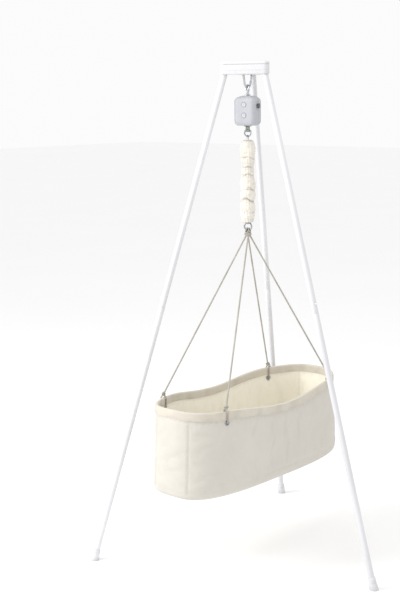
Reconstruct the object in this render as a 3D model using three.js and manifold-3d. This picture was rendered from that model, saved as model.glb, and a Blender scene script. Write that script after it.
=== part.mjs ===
// Hanging baby cradle: a three-legged stand carries a spring-rocking motor unit, a covered
// tension spring and, on four cords, a soft-sided oval cradle with a mattress.
// Millimetres, +Z up. +X runs along the cradle's length. The origin lies on the floor at the
// middle of the stand's footprint box; the hanging axis stands at (AXIS_X, AXIS_Y).

import * as THREE from "three";
import { mergeVertices } from "three/addons/utils/BufferGeometryUtils.js";
import Module from "manifold-3d";

const wasm = await Module();
wasm.setup();

// ---------------------------------------------------------------- driving dimensions
const DEG = Math.PI / 180;

// stand
const AXIS_X = -23.9; // hanging axis in the part's frame
const AXIS_Y = 131.1;
const APEX_Z = 2099.6; // where the three leg axes would meet
const FOOT_R = 609; // radius of the circle the feet stand on
const LEG_AZ = { front: -94.5, rear: 25.5, left: 145.5 };
const LEG_D = 22; // tube
const LEG_WALL = 1.2;
const SWAGE_D = 18.8; // reduced end of the lower tube
const LEG_TOP_Z = 1826.8;
const LEG_JOINT_Z = 957; // where upper and lower tubes butt
const SWAGE_LEN = 64;
const LEG_END_Z = 13.6;
const CLIP_BELOW = 33; // snap button's distance up from the butt, along the leg

const HUB_Z0 = 1798;
const HUB_Z1 = 1834;
const HUB_LOBE_R = 84; // lobe centres
const HUB_LOBE = 18; // lobe radius
const HUB_HOLE = 34; // open middle, radius
const PIN_Z = 1816; // hanger pin across the hub's middle
const PIN_R = 5;
const HOOK_AZ = -20; // plane of the snap hook

// snap hook (pear shaped), wire radius and centreline
const HOOK_R = 4;
const HOOK_TOP_R = 19;
const HOOK_BOT_R = 12;
const HOOK_LEN = 72; // top of centreline to bottom of centreline
const HOOK_TOP_Z = PIN_Z + PIN_R + HOOK_R + 0.3;
const HOOK_BOT_Z = HOOK_TOP_Z - HOOK_LEN;

// motor unit
const MOTOR_AZ = -70; // turn of the motor unit about the hanging axis
const MZ0 = 1615;
const MZ1 = 1723;
const MHX = 43; // half width
const MHY = 41; // half depth
const WALL = 2.6;
const EYE_R = 3;
const EYE_RING = 10.5;
const EYE_Z = HOOK_BOT_Z + HOOK_R + EYE_R + 0.3 - EYE_RING;
const DRUM_R = 14; // strap drum
const STRAP_T = 2;
const STRAP_W = 16;
const DRUM_Y = DRUM_R + STRAP_T / 2 + 0.3;
const DRUM_Z = 1662;
const KNOB_Z = 1686;
const KNOB_Y = -16;
const BUTTON_Z = [1690, 1652];

// hanging hardware under the motor
const LOOP_Z = 1596; // top bar of the D ring
const DRING_BOT_Z = 1576;
const DRING_R = 2.5;
const SPRING_WIRE = 1.5; // radius
const SPRING_R = 14; // coil centreline radius
const SPRING_TURNS = 24;
const SPRING_TOP_Z = 1556;
const SPRING_BOT_Z = 1276;
const RING_Z = 1244;
const RING_R = 14;
const RING_WIRE = 3;

// cradle
const RIM = { a: 438, b: 186, n: 2.75 };
const BASE = { a: 450, b: 176, n: 3.2 };
const BASE_Z = 311;
const BASE_ROUND = 22;
const RIM_CORNER_Z = 627; // rim height where the cords hold it
const RIM_END_RISE = 7;
const RIM_SIDE_SAG = 26;
const CORNER_X = 315;
const SHELL_T = 7;
const HEM_DEPTH = 30;
const CORD_R = 3.4;
const ROUND = 40; // points round the cradle

// ---------------------------------------------------------------- geometry helpers
const V = (x, y, z) => new THREE.Vector3(x, y, z);

// a closed mesh as a solid, turned right side out
function solid(g0) {
  const g = g0.index ? g0.toNonIndexed() : g0.clone();
  for (const k of Object.keys(g.attributes))
    if (k !== "position") g.deleteAttribute(k);
  const m = mergeVertices(g, 1e-4);
  const p = m.attributes.position.array;
  const keep = [];
  const ix = m.index.array;
  for (let i = 0; i < ix.length; i += 3) {
    const [a, b, c] = [ix[i], ix[i + 1], ix[i + 2]];
    if (a !== b && b !== c && a !== c) keep.push(a, b, c);
  }
  const make = (t) =>
    new wasm.Manifold(
      new wasm.Mesh({
        numProp: 3,
        vertProperties: new Float32Array(p),
        triVerts: new Uint32Array(t),
      }),
    );
  let s = make(keep);
  if (s.volume() < 0) {
    const flip = [];
    for (let i = 0; i < keep.length; i += 3)
      flip.push(keep[i], keep[i + 2], keep[i + 1]);
    s = make(flip);
  }
  return s;
}

function toGeometry(s) {
  const m = s.getMesh();
  const pos = new Float32Array(m.triVerts.length * 3);
  for (let i = 0; i < m.triVerts.length; i++)
    for (let k = 0; k < 3; k++)
      pos[i * 3 + k] = m.vertProperties[m.triVerts[i] * m.numProp + k];
  const g = new THREE.BufferGeometry();
  g.setAttribute("position", new THREE.BufferAttribute(pos, 3));
  g.computeVertexNormals();
  return g;
}

const join = (...list) =>
  list.map((g) => (g.isBufferGeometry ? solid(g) : g)).reduce((a, b) => a.add(b));
const cut = (body, ...tools) =>
  tools
    .map((g) => (g.isBufferGeometry ? solid(g) : g))
    .reduce((a, b) => a.subtract(b), body.isBufferGeometry ? solid(body) : body);

// round bar between two points
function bar(a, b, r, sides = 16, r2 = r) {
  const d = b.clone().sub(a);
  const g = new THREE.CylinderGeometry(r2, r, d.length(), sides, 1);
  g.translate(0, d.length() / 2, 0);
  g.applyQuaternion(
    new THREE.Quaternion().setFromUnitVectors(V(0, 1, 0), d.normalize()),
  );
  g.translate(a.x, a.y, a.z);
  return g;
}

// turned shape: profile [radius, height] pairs about a line from a, running towards b
function turned(profile, a, b, sides = 20) {
  const g = new THREE.LatheGeometry(
    profile.map(([r, h]) => new THREE.Vector2(r, h)),
    sides,
  );
  const d = b.clone().sub(a).normalize();
  g.applyQuaternion(new THREE.Quaternion().setFromUnitVectors(V(0, 1, 0), d));
  g.translate(a.x, a.y, a.z);
  return g;
}
// closed tube profile for turned()
const pipe = (r0, r1, h0, h1) => [
  [r0, h0],
  [r1, h0],
  [r1, h1],
  [r0, h1],
  [r0, h0],
];

function box(x0, x1, y0, y1, z0, z1) {
  const g = new THREE.BoxGeometry(x1 - x0, y1 - y0, z1 - z0);
  g.translate((x0 + x1) / 2, (y0 + y1) / 2, (z0 + z1) / 2);
  return g;
}

// a skin through a stack of equal rings; ends are fans, or the stack closes on itself
function loft(rings, wrap = false) {
  const n = rings[0].length;
  const pos = [];
  const idx = [];
  for (const r of rings) for (const p of r) pos.push(p.x, p.y, p.z);
  const last = wrap ? rings.length : rings.length - 1;
  for (let i = 0; i < last; i++)
    for (let j = 0; j < n; j++) {
      const a = i * n + j;
      const b = i * n + ((j + 1) % n);
      const c = ((i + 1) % rings.length) * n + j;
      const d = ((i + 1) % rings.length) * n + ((j + 1) % n);
      idx.push(a, b, d, a, d, c);
    }
  if (!wrap)
    for (const [ring, flip] of [
      [0, true],
      [rings.length - 1, false],
    ]) {
      const c = V(0, 0, 0);
      rings[ring].forEach((p) => c.add(p));
      c.multiplyScalar(1 / n);
      const ci = pos.length / 3;
      pos.push(c.x, c.y, c.z);
      for (let j = 0; j < n; j++) {
        const a = ring * n + j;
        const b = ring * n + ((j + 1) % n);
        if (flip) idx.push(ci, b, a);
        else idx.push(ci, a, b);
      }
    }
  const g = new THREE.BufferGeometry();
  g.setAttribute("position", new THREE.Float32BufferAttribute(pos, 3));
  g.setIndex(idx);
  return g;
}

// round wire along a list of points, open with flat ends or closed
function wire(path, r, sides = 8, closed = false) {
  const n = path.length;
  const tan = path.map((p, i) => {
    const a = closed ? path[(i + n - 1) % n] : path[Math.max(0, i - 1)];
    const b = closed ? path[(i + 1) % n] : path[Math.min(n - 1, i + 1)];
    return b.clone().sub(a).normalize();
  });
  let nor = Math.abs(tan[0].z) < 0.9 ? V(0, 0, 1) : V(1, 0, 0);
  nor = nor.sub(tan[0].clone().multiplyScalar(nor.dot(tan[0]))).normalize();
  const rings = [];
  for (let i = 0; i < n; i++) {
    if (i) {
      const axis = tan[i - 1].clone().cross(tan[i]);
      const s = axis.length();
      if (s > 1e-9)
        nor.applyAxisAngle(
          axis.multiplyScalar(1 / s),
          Math.atan2(s, tan[i - 1].dot(tan[i])),
        );
    }
    const bin = tan[i].clone().cross(nor);
    const ring = [];
    for (let k = 0; k < sides; k++) {
      const t = ((k + 0.5) / sides) * 2 * Math.PI;
      ring.push(
        path[i]
          .clone()
          .addScaledVector(nor, r * Math.cos(t))
          .addScaledVector(bin, r * Math.sin(t)),
      );
    }
    rings.push(ring);
  }
  return loft(rings, closed);
}

// points of an arc in the plane of unit vectors u and w about c, degrees
function arc(c, u, w, r, a0, a1, n) {
  const out = [];
  for (let i = 0; i <= n; i++) {
    const t = (a0 + ((a1 - a0) * i) / n) * DEG;
    out.push(
      c
        .clone()
        .addScaledVector(u, r * Math.cos(t))
        .addScaledVector(w, r * Math.sin(t)),
    );
  }
  return out;
}

// ---------------------------------------------------------------- scene graph
const root = new THREE.Group();
const axisGroup = new THREE.Group(); // everything is laid out about the hanging axis
axisGroup.position.set(AXIS_X, AXIS_Y, 0);
root.add(axisGroup);
const stand = new THREE.Group();
const unit = new THREE.Group(); // motor unit and what hangs in line under it
unit.rotation.z = MOTOR_AZ * DEG;
const cradle = new THREE.Group();
axisGroup.add(stand, unit, cradle);

const mat = (color, roughness, metalness) =>
  new THREE.MeshStandardMaterial({ color, roughness, metalness });
const M = {
  tube: mat(0xe6e6ea, 0.4, 0.1),
  head: mat(0xf6f6f4, 0.35, 0),
  steel: mat(0xb9bbbe, 0.3, 1),
  shell: mat(0xc3c5c9, 0.5, 0),
  dark: mat(0x55585c, 0.5, 0),
  button: mat(0xd6d8dc, 0.45, 0),
  rubber: mat(0xd9d9d9, 0.8, 0),
  board: mat(0x3f6b4b, 0.6, 0),
  white: mat(0xe9e9e6, 0.5, 0),
  webbing: mat(0x9aa09a, 0.9, 0),
  sleeve: mat(0xefe6d8, 0.9, 0),
  cord: mat(0xb9b6ab, 0.9, 0),
  cloth: mat(0xe4ddcb, 0.95, 0),
  hem: mat(0xd6ccb4, 0.95, 0),
  mattress: mat(0xf2ede0, 0.95, 0),
  ply: mat(0xcaa877, 0.7, 0),
};

function part(group, name, shape, material) {
  const s = shape.isBufferGeometry ? solid(shape) : shape;
  const m = new THREE.Mesh(toGeometry(s), material);
  m.name = name;
  group.add(m);
  return m;
}

// ---------------------------------------------------------------- stand
// a point on a leg's axis at height z, and the leg's downward direction
function legAt(az, z) {
  const r = (FOOT_R * (APEX_Z - z)) / APEX_Z;
  return V(r * Math.cos(az * DEG), r * Math.sin(az * DEG), z);
}

// plan of the hub: a triangle with round lobes, inset by k
function hubPlan(k, z) {
  const pts = [];
  for (const az of [LEG_AZ.front, LEG_AZ.rear, LEG_AZ.left])
    for (let i = 0; i <= 6; i++) {
      const t = (az - 60 + 20 * i) * DEG;
      pts.push(
        V(
          HUB_LOBE_R * Math.cos(az * DEG) + (HUB_LOBE - k) * Math.cos(t),
          HUB_LOBE_R * Math.sin(az * DEG) + (HUB_LOBE - k) * Math.sin(t),
          z,
        ),
      );
    }
  return pts;
}

const pinDir = V(Math.cos((HOOK_AZ + 90) * DEG), Math.sin((HOOK_AZ + 90) * DEG), 0);
const at = (dir, d, z) => V(dir.x * d, dir.y * d, z);
{
  let hub = solid(
    loft([
      hubPlan(3.5, HUB_Z0),
      hubPlan(0.8, HUB_Z0 + 1.4),
      hubPlan(0, HUB_Z0 + 4),
      hubPlan(0, HUB_Z1),
    ]),
  );
  const tools = [
    bar(V(0, 0, HUB_Z0 - 5), V(0, 0, HUB_Z1 + 5), HUB_HOLE, 24),
    bar(at(pinDir, -44.6, PIN_Z), at(pinDir, 80, PIN_Z), PIN_R + 0.3, 12),
  ];
  for (const az of Object.values(LEG_AZ))
    tools.push(
      bar(legAt(az, HUB_Z0 - 30), legAt(az, LEG_TOP_Z + 1.0), LEG_D / 2 + 0.5, 14),
    );
  hub = cut(hub, ...tools);
  part(stand, "stand_head", hub, M.head);

  part(
    stand,
    "head_cap",
    loft([
      hubPlan(-0.6, HUB_Z1 + 0.4),
      hubPlan(-0.6, HUB_Z1 + 5.5),
      hubPlan(0.8, HUB_Z1 + 8.5),
      hubPlan(4.5, HUB_Z1 + 10.6),
      hubPlan(11, HUB_Z1 + 12),
    ]),
    M.head,
  );
  part(
    stand,
    "hanger_pin",
    bar(at(pinDir, -44, PIN_Z), at(pinDir, 56, PIN_Z), PIN_R, 12),
    M.steel,
  );
}

const cosLean = APEX_Z / Math.hypot(APEX_Z, FOOT_R);
const sinLean = FOOT_R / Math.hypot(APEX_Z, FOOT_R);
for (const [leg, az] of Object.entries(LEG_AZ)) {
  const top = legAt(az, LEG_TOP_Z);
  const butt = legAt(az, LEG_JOINT_Z);
  const end = legAt(az, LEG_END_Z);
  const r = LEG_D / 2;
  const L1 = top.distanceTo(butt);
  const out = V(
    Math.cos(az * DEG) * cosLean,
    Math.sin(az * DEG) * cosLean,
    sinLean,
  );
  const down = end.clone().sub(top).normalize();
  const seat = butt.clone().addScaledVector(down, -CLIP_BELOW);
  const hole = (rr) =>
    bar(seat.clone().addScaledVector(out, 5), seat.clone().addScaledVector(out, 16), rr, 10);

  part(
    stand,
    `leg_upper_tube_${leg}`,
    cut(turned(pipe(r - LEG_WALL, r, 0, L1 - 0.3), top, butt, 14), hole(4.3)),
    M.tube,
  );
  // lower tube, its top end reduced to slide into the upper one
  const L2 = butt.distanceTo(end);
  const s = SWAGE_D / 2;
  part(
    stand,
    `leg_lower_tube_${leg}`,
    cut(
      turned(
        [
          [s - LEG_WALL, -SWAGE_LEN],
          [s, -SWAGE_LEN],
          [s, 0.1],
          [r - 0.4, 0.1],
          [r, 0.6],
          [r, L2],
          [r - LEG_WALL, L2],
          [r - LEG_WALL, 6],
          [s - LEG_WALL, 2],
          [s - LEG_WALL, -SWAGE_LEN],
        ],
        butt,
        end,
        14,
      ),
      hole(4.3),
    ),
    M.tube,
  );
  // snap button on a flat leaf inside the reduced end
  const side = down.clone().cross(out);
  const leaf = new THREE.BoxGeometry(34, 5.2, 1);
  leaf.applyMatrix4(new THREE.Matrix4().makeBasis(down, side, out));
  const lc = seat.clone().addScaledVector(out, 6.2).addScaledVector(down, -9);
  leaf.translate(lc.x, lc.y, lc.z);
  part(
    stand,
    `leg_snap_button_${leg}`,
    join(
      bar(
        seat.clone().addScaledVector(out, 6.0),
        seat.clone().addScaledVector(out, 12.6),
        3.9,
        10,
      ),
      bar(
        seat.clone().addScaledVector(out, 12.6),
        seat.clone().addScaledVector(out, 14.2),
        3.9,
        10,
        2.4,
      ),
      leaf,
    ),
    M.steel,
  );
  // rubber foot, cut level with the floor
  const tip = legAt(az, -20);
  const footTop = end.clone().addScaledVector(down, -30);
  const foot = cut(
    turned(
      [
        [0, 0],
        [12.4, 0],
        [13.6, 1.5],
        [14.4, 14],
        [16, 30],
        [16.4, 60],
        [0, 60],
      ],
      footTop,
      tip,
      14,
    ),
    bar(footTop.clone().addScaledVector(down, -5), end.clone().addScaledVector(down, 0.5), r + 0.5, 14),
    box(-900, 900, -900, 900, -100, 0),
  );
  part(stand, `foot_${leg}`, foot, M.rubber);
}

// ---------------------------------------------------------------- snap hook
// drawn in its own plane: q across, z up
const hook = new THREE.Group();
hook.rotation.z = HOOK_AZ * DEG;
axisGroup.add(hook);
{
  const Q = V(1, 0, 0);
  const Z = V(0, 0, 1);
  const zt = HOOK_TOP_Z - HOOK_TOP_R;
  const zb = HOOK_BOT_Z + HOOK_BOT_R;
  const hinge = V(13.4, 0, HOOK_BOT_Z + 18.6);
  const path = [
    V(18.75, 0, HOOK_TOP_Z - 22.4),
    ...arc(V(0, 0, zt), Q, Z, HOOK_TOP_R, 0, 180, 10),
    ...arc(V(0, 0, zb), Q, Z, HOOK_BOT_R, 186, 352, 8),
    V(13.1, 0, HOOK_BOT_Z + 15),
    V(13.9, 0, HOOK_BOT_Z + 22),
  ];
  const slotCut = box(hinge.x - 9, hinge.x + 9, -1.7, 1.7, hinge.z - 4.4, hinge.z + 12);
  part(
    hook,
    "snap_hook",
    cut(
      wire(path, HOOK_R, 8),
      slotCut,
      bar(V(hinge.x, -9, hinge.z), V(hinge.x, 9, hinge.z), 1.4, 10),
    ),
    M.steel,
  );
  const tip = V(18.1, 0, HOOK_TOP_Z - 23.4);
  const dir = tip.clone().sub(hinge).normalize();
  const rodStart = hinge.clone().addScaledVector(dir, 7.2);
  part(
    hook,
    "snap_hook_gate",
    cut(
      join(
        bar(rodStart, tip, 3.2, 10),
        (() => {
          const g = new THREE.BoxGeometry(5.2, 2.6, 11.5);
          g.translate(0, 0, 2.75);
          g.applyQuaternion(new THREE.Quaternion().setFromUnitVectors(Z, dir));
          g.translate(hinge.x, hinge.y, hinge.z);
          return g;
        })(),
      ),
      bar(V(hinge.x, -9, hinge.z), V(hinge.x, 9, hinge.z), 1.4, 10),
    ),
    M.steel,
  );
  part(
    hook,
    "gate_pin",
    bar(V(hinge.x, -3.6, hinge.z), V(hinge.x, 3.6, hinge.z), 1.1, 10),
    M.steel,
  );
}

// ---------------------------------------------------------------- swivel eye of the motor unit
const eyeGroup = new THREE.Group(); // stands square to the snap hook
eyeGroup.rotation.z = (HOOK_AZ + 90) * DEG;
axisGroup.add(eyeGroup);
{
  const Q = V(1, 0, 0);
  const Z = V(0, 0, 1);
  const c = V(0, 0, EYE_Z);
  const a = Math.asin(5.5 / EYE_RING) / DEG;
  const path = [
    V(-5.5, 0, MZ1 + 3),
    V(-5.5, 0, MZ1 + 13),
    ...arc(c, Q, Z, EYE_RING, -90 - a, -450 + a, 14).slice(1),
    V(5.5, 0, MZ1 + 13),
    V(5.5, 0, MZ1 + 3),
  ];
  part(
    eyeGroup,
    "swivel_eye",
    join(
      wire(path, EYE_R, 8),
      turned(
        [
          [0, 0],
          [5, 0],
          [5, 24.6],
          [10.4, 24.6],
          [11, 25.4],
          [11, 27.6],
          [9.4, 29.2],
          [0, 29.2],
        ],
        V(0, 0, MZ1 - 24),
        V(0, 0, MZ1),
        16,
      ),
    ),
    M.steel,
  );
  part(
    eyeGroup,
    "swivel_nut",
    cut(
      bar(V(0, 0, 1699.4), V(0, 0, 1706.4), 8.6, 6),
      bar(V(0, 0, 1690), V(0, 0, 1710), 5.3, 16),
    ),
    M.steel,
  );
}

// ---------------------------------------------------------------- motor unit
// rounded rectangle in plan
function plan(hx, hy, r, z, per = 3) {
  const pts = [];
  [
    [1, 1, 0],
    [-1, 1, 90],
    [-1, -1, 180],
    [1, -1, 270],
  ].forEach(([sx, sy, a0]) => {
    for (let i = 0; i <= per; i++) {
      const t = (a0 + (90 * i) / per) * DEG;
      pts.push(
        V(sx * (hx - r) + r * Math.cos(t), sy * (hy - r) + r * Math.sin(t), z),
      );
    }
  });
  return pts;
}
const bodyRings = (k) => {
  // k: how far inside the outer skin
  const rows = [
    [0, 31, 29, 15],
    [2.2, 36, 34, 17],
    [8, 40.8, 38.8, 19],
    [18, MHX, MHY, 20],
    [86, MHX, MHY, 20],
    [95, 40.6, 38.6, 19],
    [102, 33.5, 31.5, 16],
    [106.6, 23, 21, 12],
    [108, 15.5, 14.5, 9],
  ];
  return rows.map(([h, hx, hy, r], i) => {
    let z = MZ0 + h;
    if (i === 0) z += k;
    if (i === 1) z += k * 0.8;
    if (i === rows.length - 1) z -= k;
    if (i === rows.length - 2) z -= k * 0.9;
    if (i === rows.length - 3) z -= k * 0.5;
    return plan(hx - k, hy - k, r - k, z);
  });
};
{
  const outer = solid(loft(bodyRings(0)));
  const inner = solid(loft(bodyRings(WALL)));
  const skin = outer.subtract(inner);
  const screwAt = [
    [30, 1699],
    [-30, 1699],
    [30, 1634],
    [-30, 1634],
  ];
  // --- front shell: takes the buttons, the knob and the screw posts
  let front = skin.intersect(solid(box(-80, 80, -80, -0.2, 1500, 1800)));
  const posts = screwAt.map(([x, z]) =>
    solid(bar(V(x, -40.2, z), V(x, -0.2, z), 3.6, 10)).intersect(outer),
  );
  front = posts.reduce((a, b) => a.add(b), front);
  front = cut(
    front,
    ...screwAt.map(([x, z]) => bar(V(x, -14, z), V(x, 2, z), 1.7, 8)),
    ...BUTTON_Z.map((z) => bar(V(0, -50, z), V(0, -30, z), 7.5, 16)),
    bar(V(30, KNOB_Y, KNOB_Z), V(60, KNOB_Y, KNOB_Z), 3.4, 14),
    bar(V(0, 0, 1700), V(0, 0, 1740), 5.4, 16),
    box(-11.2, 11.2, -5.2, 5.2, 1600, 1625),
  );
  part(unit, "motor_front_shell", front, M.shell);

  // --- rear shell: screw bosses, power inlet
  let rear = skin.intersect(solid(box(-80, 80, 0.2, 80, 1500, 1800)));
  const bosses = screwAt.map(([x, z]) =>
    solid(bar(V(x, 0.2, z), V(x, 40.6, z), 4.9, 10)).intersect(outer),
  );
  rear = bosses.reduce((a, b) => a.add(b), rear);
  rear = cut(
    rear,
    ...screwAt.map(([x, z]) => bar(V(x, -2, z), V(x, 12, z), 1.7, 8)),
    ...screwAt.map(([x, z]) => bar(V(x, 8.4, z), V(x, 50, z), 3.5, 10)),
    bar(V(0, 0, 1700), V(0, 0, 1740), 5.4, 16),
    box(-11.2, 11.2, -5.2, 5.2, 1600, 1625),
    bar(V(-17, 17, 1600), V(-17, 17, 1630), 6.3, 18),
  );
  part(unit, "motor_rear_shell", rear, M.shell);

  screwAt.forEach(([x, z], i) =>
    part(
      unit,
      `shell_screw_${i + 1}`,
      turned(
        [
          [0, 0],
          [1.4, 0],
          [1.4, 20.8],
          [3, 20.8],
          [3, 22.4],
          [2.2, 23.4],
          [0, 23.4],
        ],
        V(x, -12, z),
        V(x, 10, z),
        10,
      ),
      M.steel,
    ),
  );

  // --- guide the strap runs through, in the floor of the housing
  part(
    unit,
    "strap_guide",
    cut(
      join(
        box(-10.8, 10.8, -4.8, 4.8, 1613.6, 1619.6),
        box(-12.6, 12.6, -6.4, 6.4, 1612.2, 1614.4),
      ),
      box(-8.9, 8.9, -1.9, 1.9, 1600, 1625),
    ),
    M.dark,
  );

  // --- steel frame: carries the swivel at the top and the drum between two cheeks
  part(
    unit,
    "frame_bracket",
    cut(
      join(
        box(-24, 24, -13, 28, 1707.2, 1710),
        box(-15.2, -12.6, -7, 28, 1643, 1707.6),
        box(12.6, 15.2, -7, 28, 1643, 1707.6),
      ),
      bar(V(0, 0, 1700), V(0, 0, 1716), 5.4, 20),
      bar(V(-20, DRUM_Y, DRUM_Z), V(20, DRUM_Y, DRUM_Z), 4.3, 16),
    ),
    M.steel,
  );

  // --- drum with shaft and the layer of strap wound on it
  {
    const a = (t, rr) =>
      V(0, DRUM_Y - rr * Math.cos(t * DEG), DRUM_Z + rr * Math.sin(t * DEG));
    const sector = [];
    for (let i = 0; i <= 9; i++) sector.push(a(72 + i * 20, DRUM_R + 1.9));
    for (let i = 9; i >= 0; i--) sector.push(a(72 + i * 20, DRUM_R - 2));
    const ringAt = (x) => sector.map((p) => V(x, p.y, p.z));
    const wound = (() => {
      // closed band: side walls are the sector outline, ends are stitched strip by strip
      const n = sector.length;
      const h = n / 2;
      const pos = [];
      const idx = [];
      for (const x of [-8, 8]) for (const p of ringAt(x)) pos.push(p.x, p.y, p.z);
      for (let j = 0; j < n; j++) {
        const b = (j + 1) % n;
        idx.push(j, b, n + b, j, n + b, n + j);
      }
      for (let j = 0; j < h - 1; j++) {
        const k = n - 1 - j;
        idx.push(j, k, j + 1, j + 1, k, k - 1);
        idx.push(n + j, n + j + 1, n + k, n + j + 1, n + k - 1, n + k);
      }
      const g = new THREE.BufferGeometry();
      g.setAttribute("position", new THREE.Float32BufferAttribute(pos, 3));
      g.setIndex(idx);
      return g;
    })();
    part(
      unit,
      "strap_drum",
      join(
        turned(
          [
            [0, -17],
            [4, -17],
            [4, -11.6],
            [17, -11.6],
            [17, -9.6],
            [DRUM_R, -9.4],
            [DRUM_R, 9.4],
            [17, 9.6],
            [17, 11.6],
            [4, 11.6],
            [4, 18],
            [0, 18],
          ],
          V(0, DRUM_Y, DRUM_Z),
          V(1, DRUM_Y, DRUM_Z),
          18,
        ),
        wound,
      ),
      M.dark,
    );
  }

  // --- geared motor on the outside of one cheek
  part(
    unit,
    "gear_motor",
    cut(
      turned(
        [
          [0, 0],
          [14.6, 0],
          [14.6, 11],
          [11.5, 11],
          [11.5, 18.4],
          [3.5, 18.4],
          [3.5, 19.4],
          [0, 19.4],
        ],
        V(15.6, DRUM_Y, DRUM_Z),
        V(20, DRUM_Y, DRUM_Z),
        16,
      ),
      bar(V(10, DRUM_Y, DRUM_Z), V(19, DRUM_Y, DRUM_Z), 4.4, 16),
    ),
    M.steel,
  );

  // --- circuit board behind the buttons
  part(unit, "circuit_board", box(-23, 23, -27.4, -25.8, 1636, 1700), M.board);

  BUTTON_Z.forEach((z, i) =>
    part(
      unit,
      i ? "timer_button" : "power_button",
      turned(
        [
          [0, 0],
          [5.4, 0],
          [7.1, 1.0],
          [7.1, 5.4],
          [8.6, 5.4],
          [8.6, 7.0],
          [2.4, 7.0],
          [2.4, 13.4],
          [0, 13.4],
        ],
        V(0, -43, z),
        V(0, 0, z),
        16,
      ),
      M.button,
    ),
  );

  // --- speed knob and the potentiometer it turns
  {
    const shape = [];
    for (let i = 0; i < 28; i++) {
      const t = (i / 28) * 2 * Math.PI;
      const rr = i % 2 ? 8.9 : 8.3;
      shape.push([rr * Math.cos(t), rr * Math.sin(t)]);
    }
    const ring = (x, k) => shape.map(([u, w]) => V(x, KNOB_Y + u * k, KNOB_Z + w * k));
    part(
      unit,
      "speed_knob",
      cut(
        join(
          loft([ring(43.8, 1), ring(50.6, 1), ring(51.6, 0.86)]),
          bar(V(30.6, KNOB_Y, KNOB_Z), V(45, KNOB_Y, KNOB_Z), 3, 12),
        ),
        box(50.4, 53, KNOB_Y - 0.7, KNOB_Y + 0.7, KNOB_Z + 1.5, KNOB_Z + 12),
      ),
      M.dark,
    );
    part(
      unit,
      "potentiometer",
      cut(
        box(26, 37.4, KNOB_Y - 7, KNOB_Y + 7, KNOB_Z - 7, KNOB_Z + 7),
        bar(V(29.6, KNOB_Y, KNOB_Z), V(45, KNOB_Y, KNOB_Z), 3.4, 12),
      ),
      M.board,
    );
  }

  // --- low-voltage inlet in the floor of the housing
  part(
    unit,
    "power_inlet",
    cut(
      join(
        bar(V(-17, 17, 1614.8), V(-17, 17, 1619.2), 6, 18),
        bar(V(-17, 17, 1618.6), V(-17, 17, 1630), 7, 18),
      ),
      bar(V(-17, 17, 1600), V(-17, 17, 1627), 3.6, 16),
    ),
    M.dark,
  );
}

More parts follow.
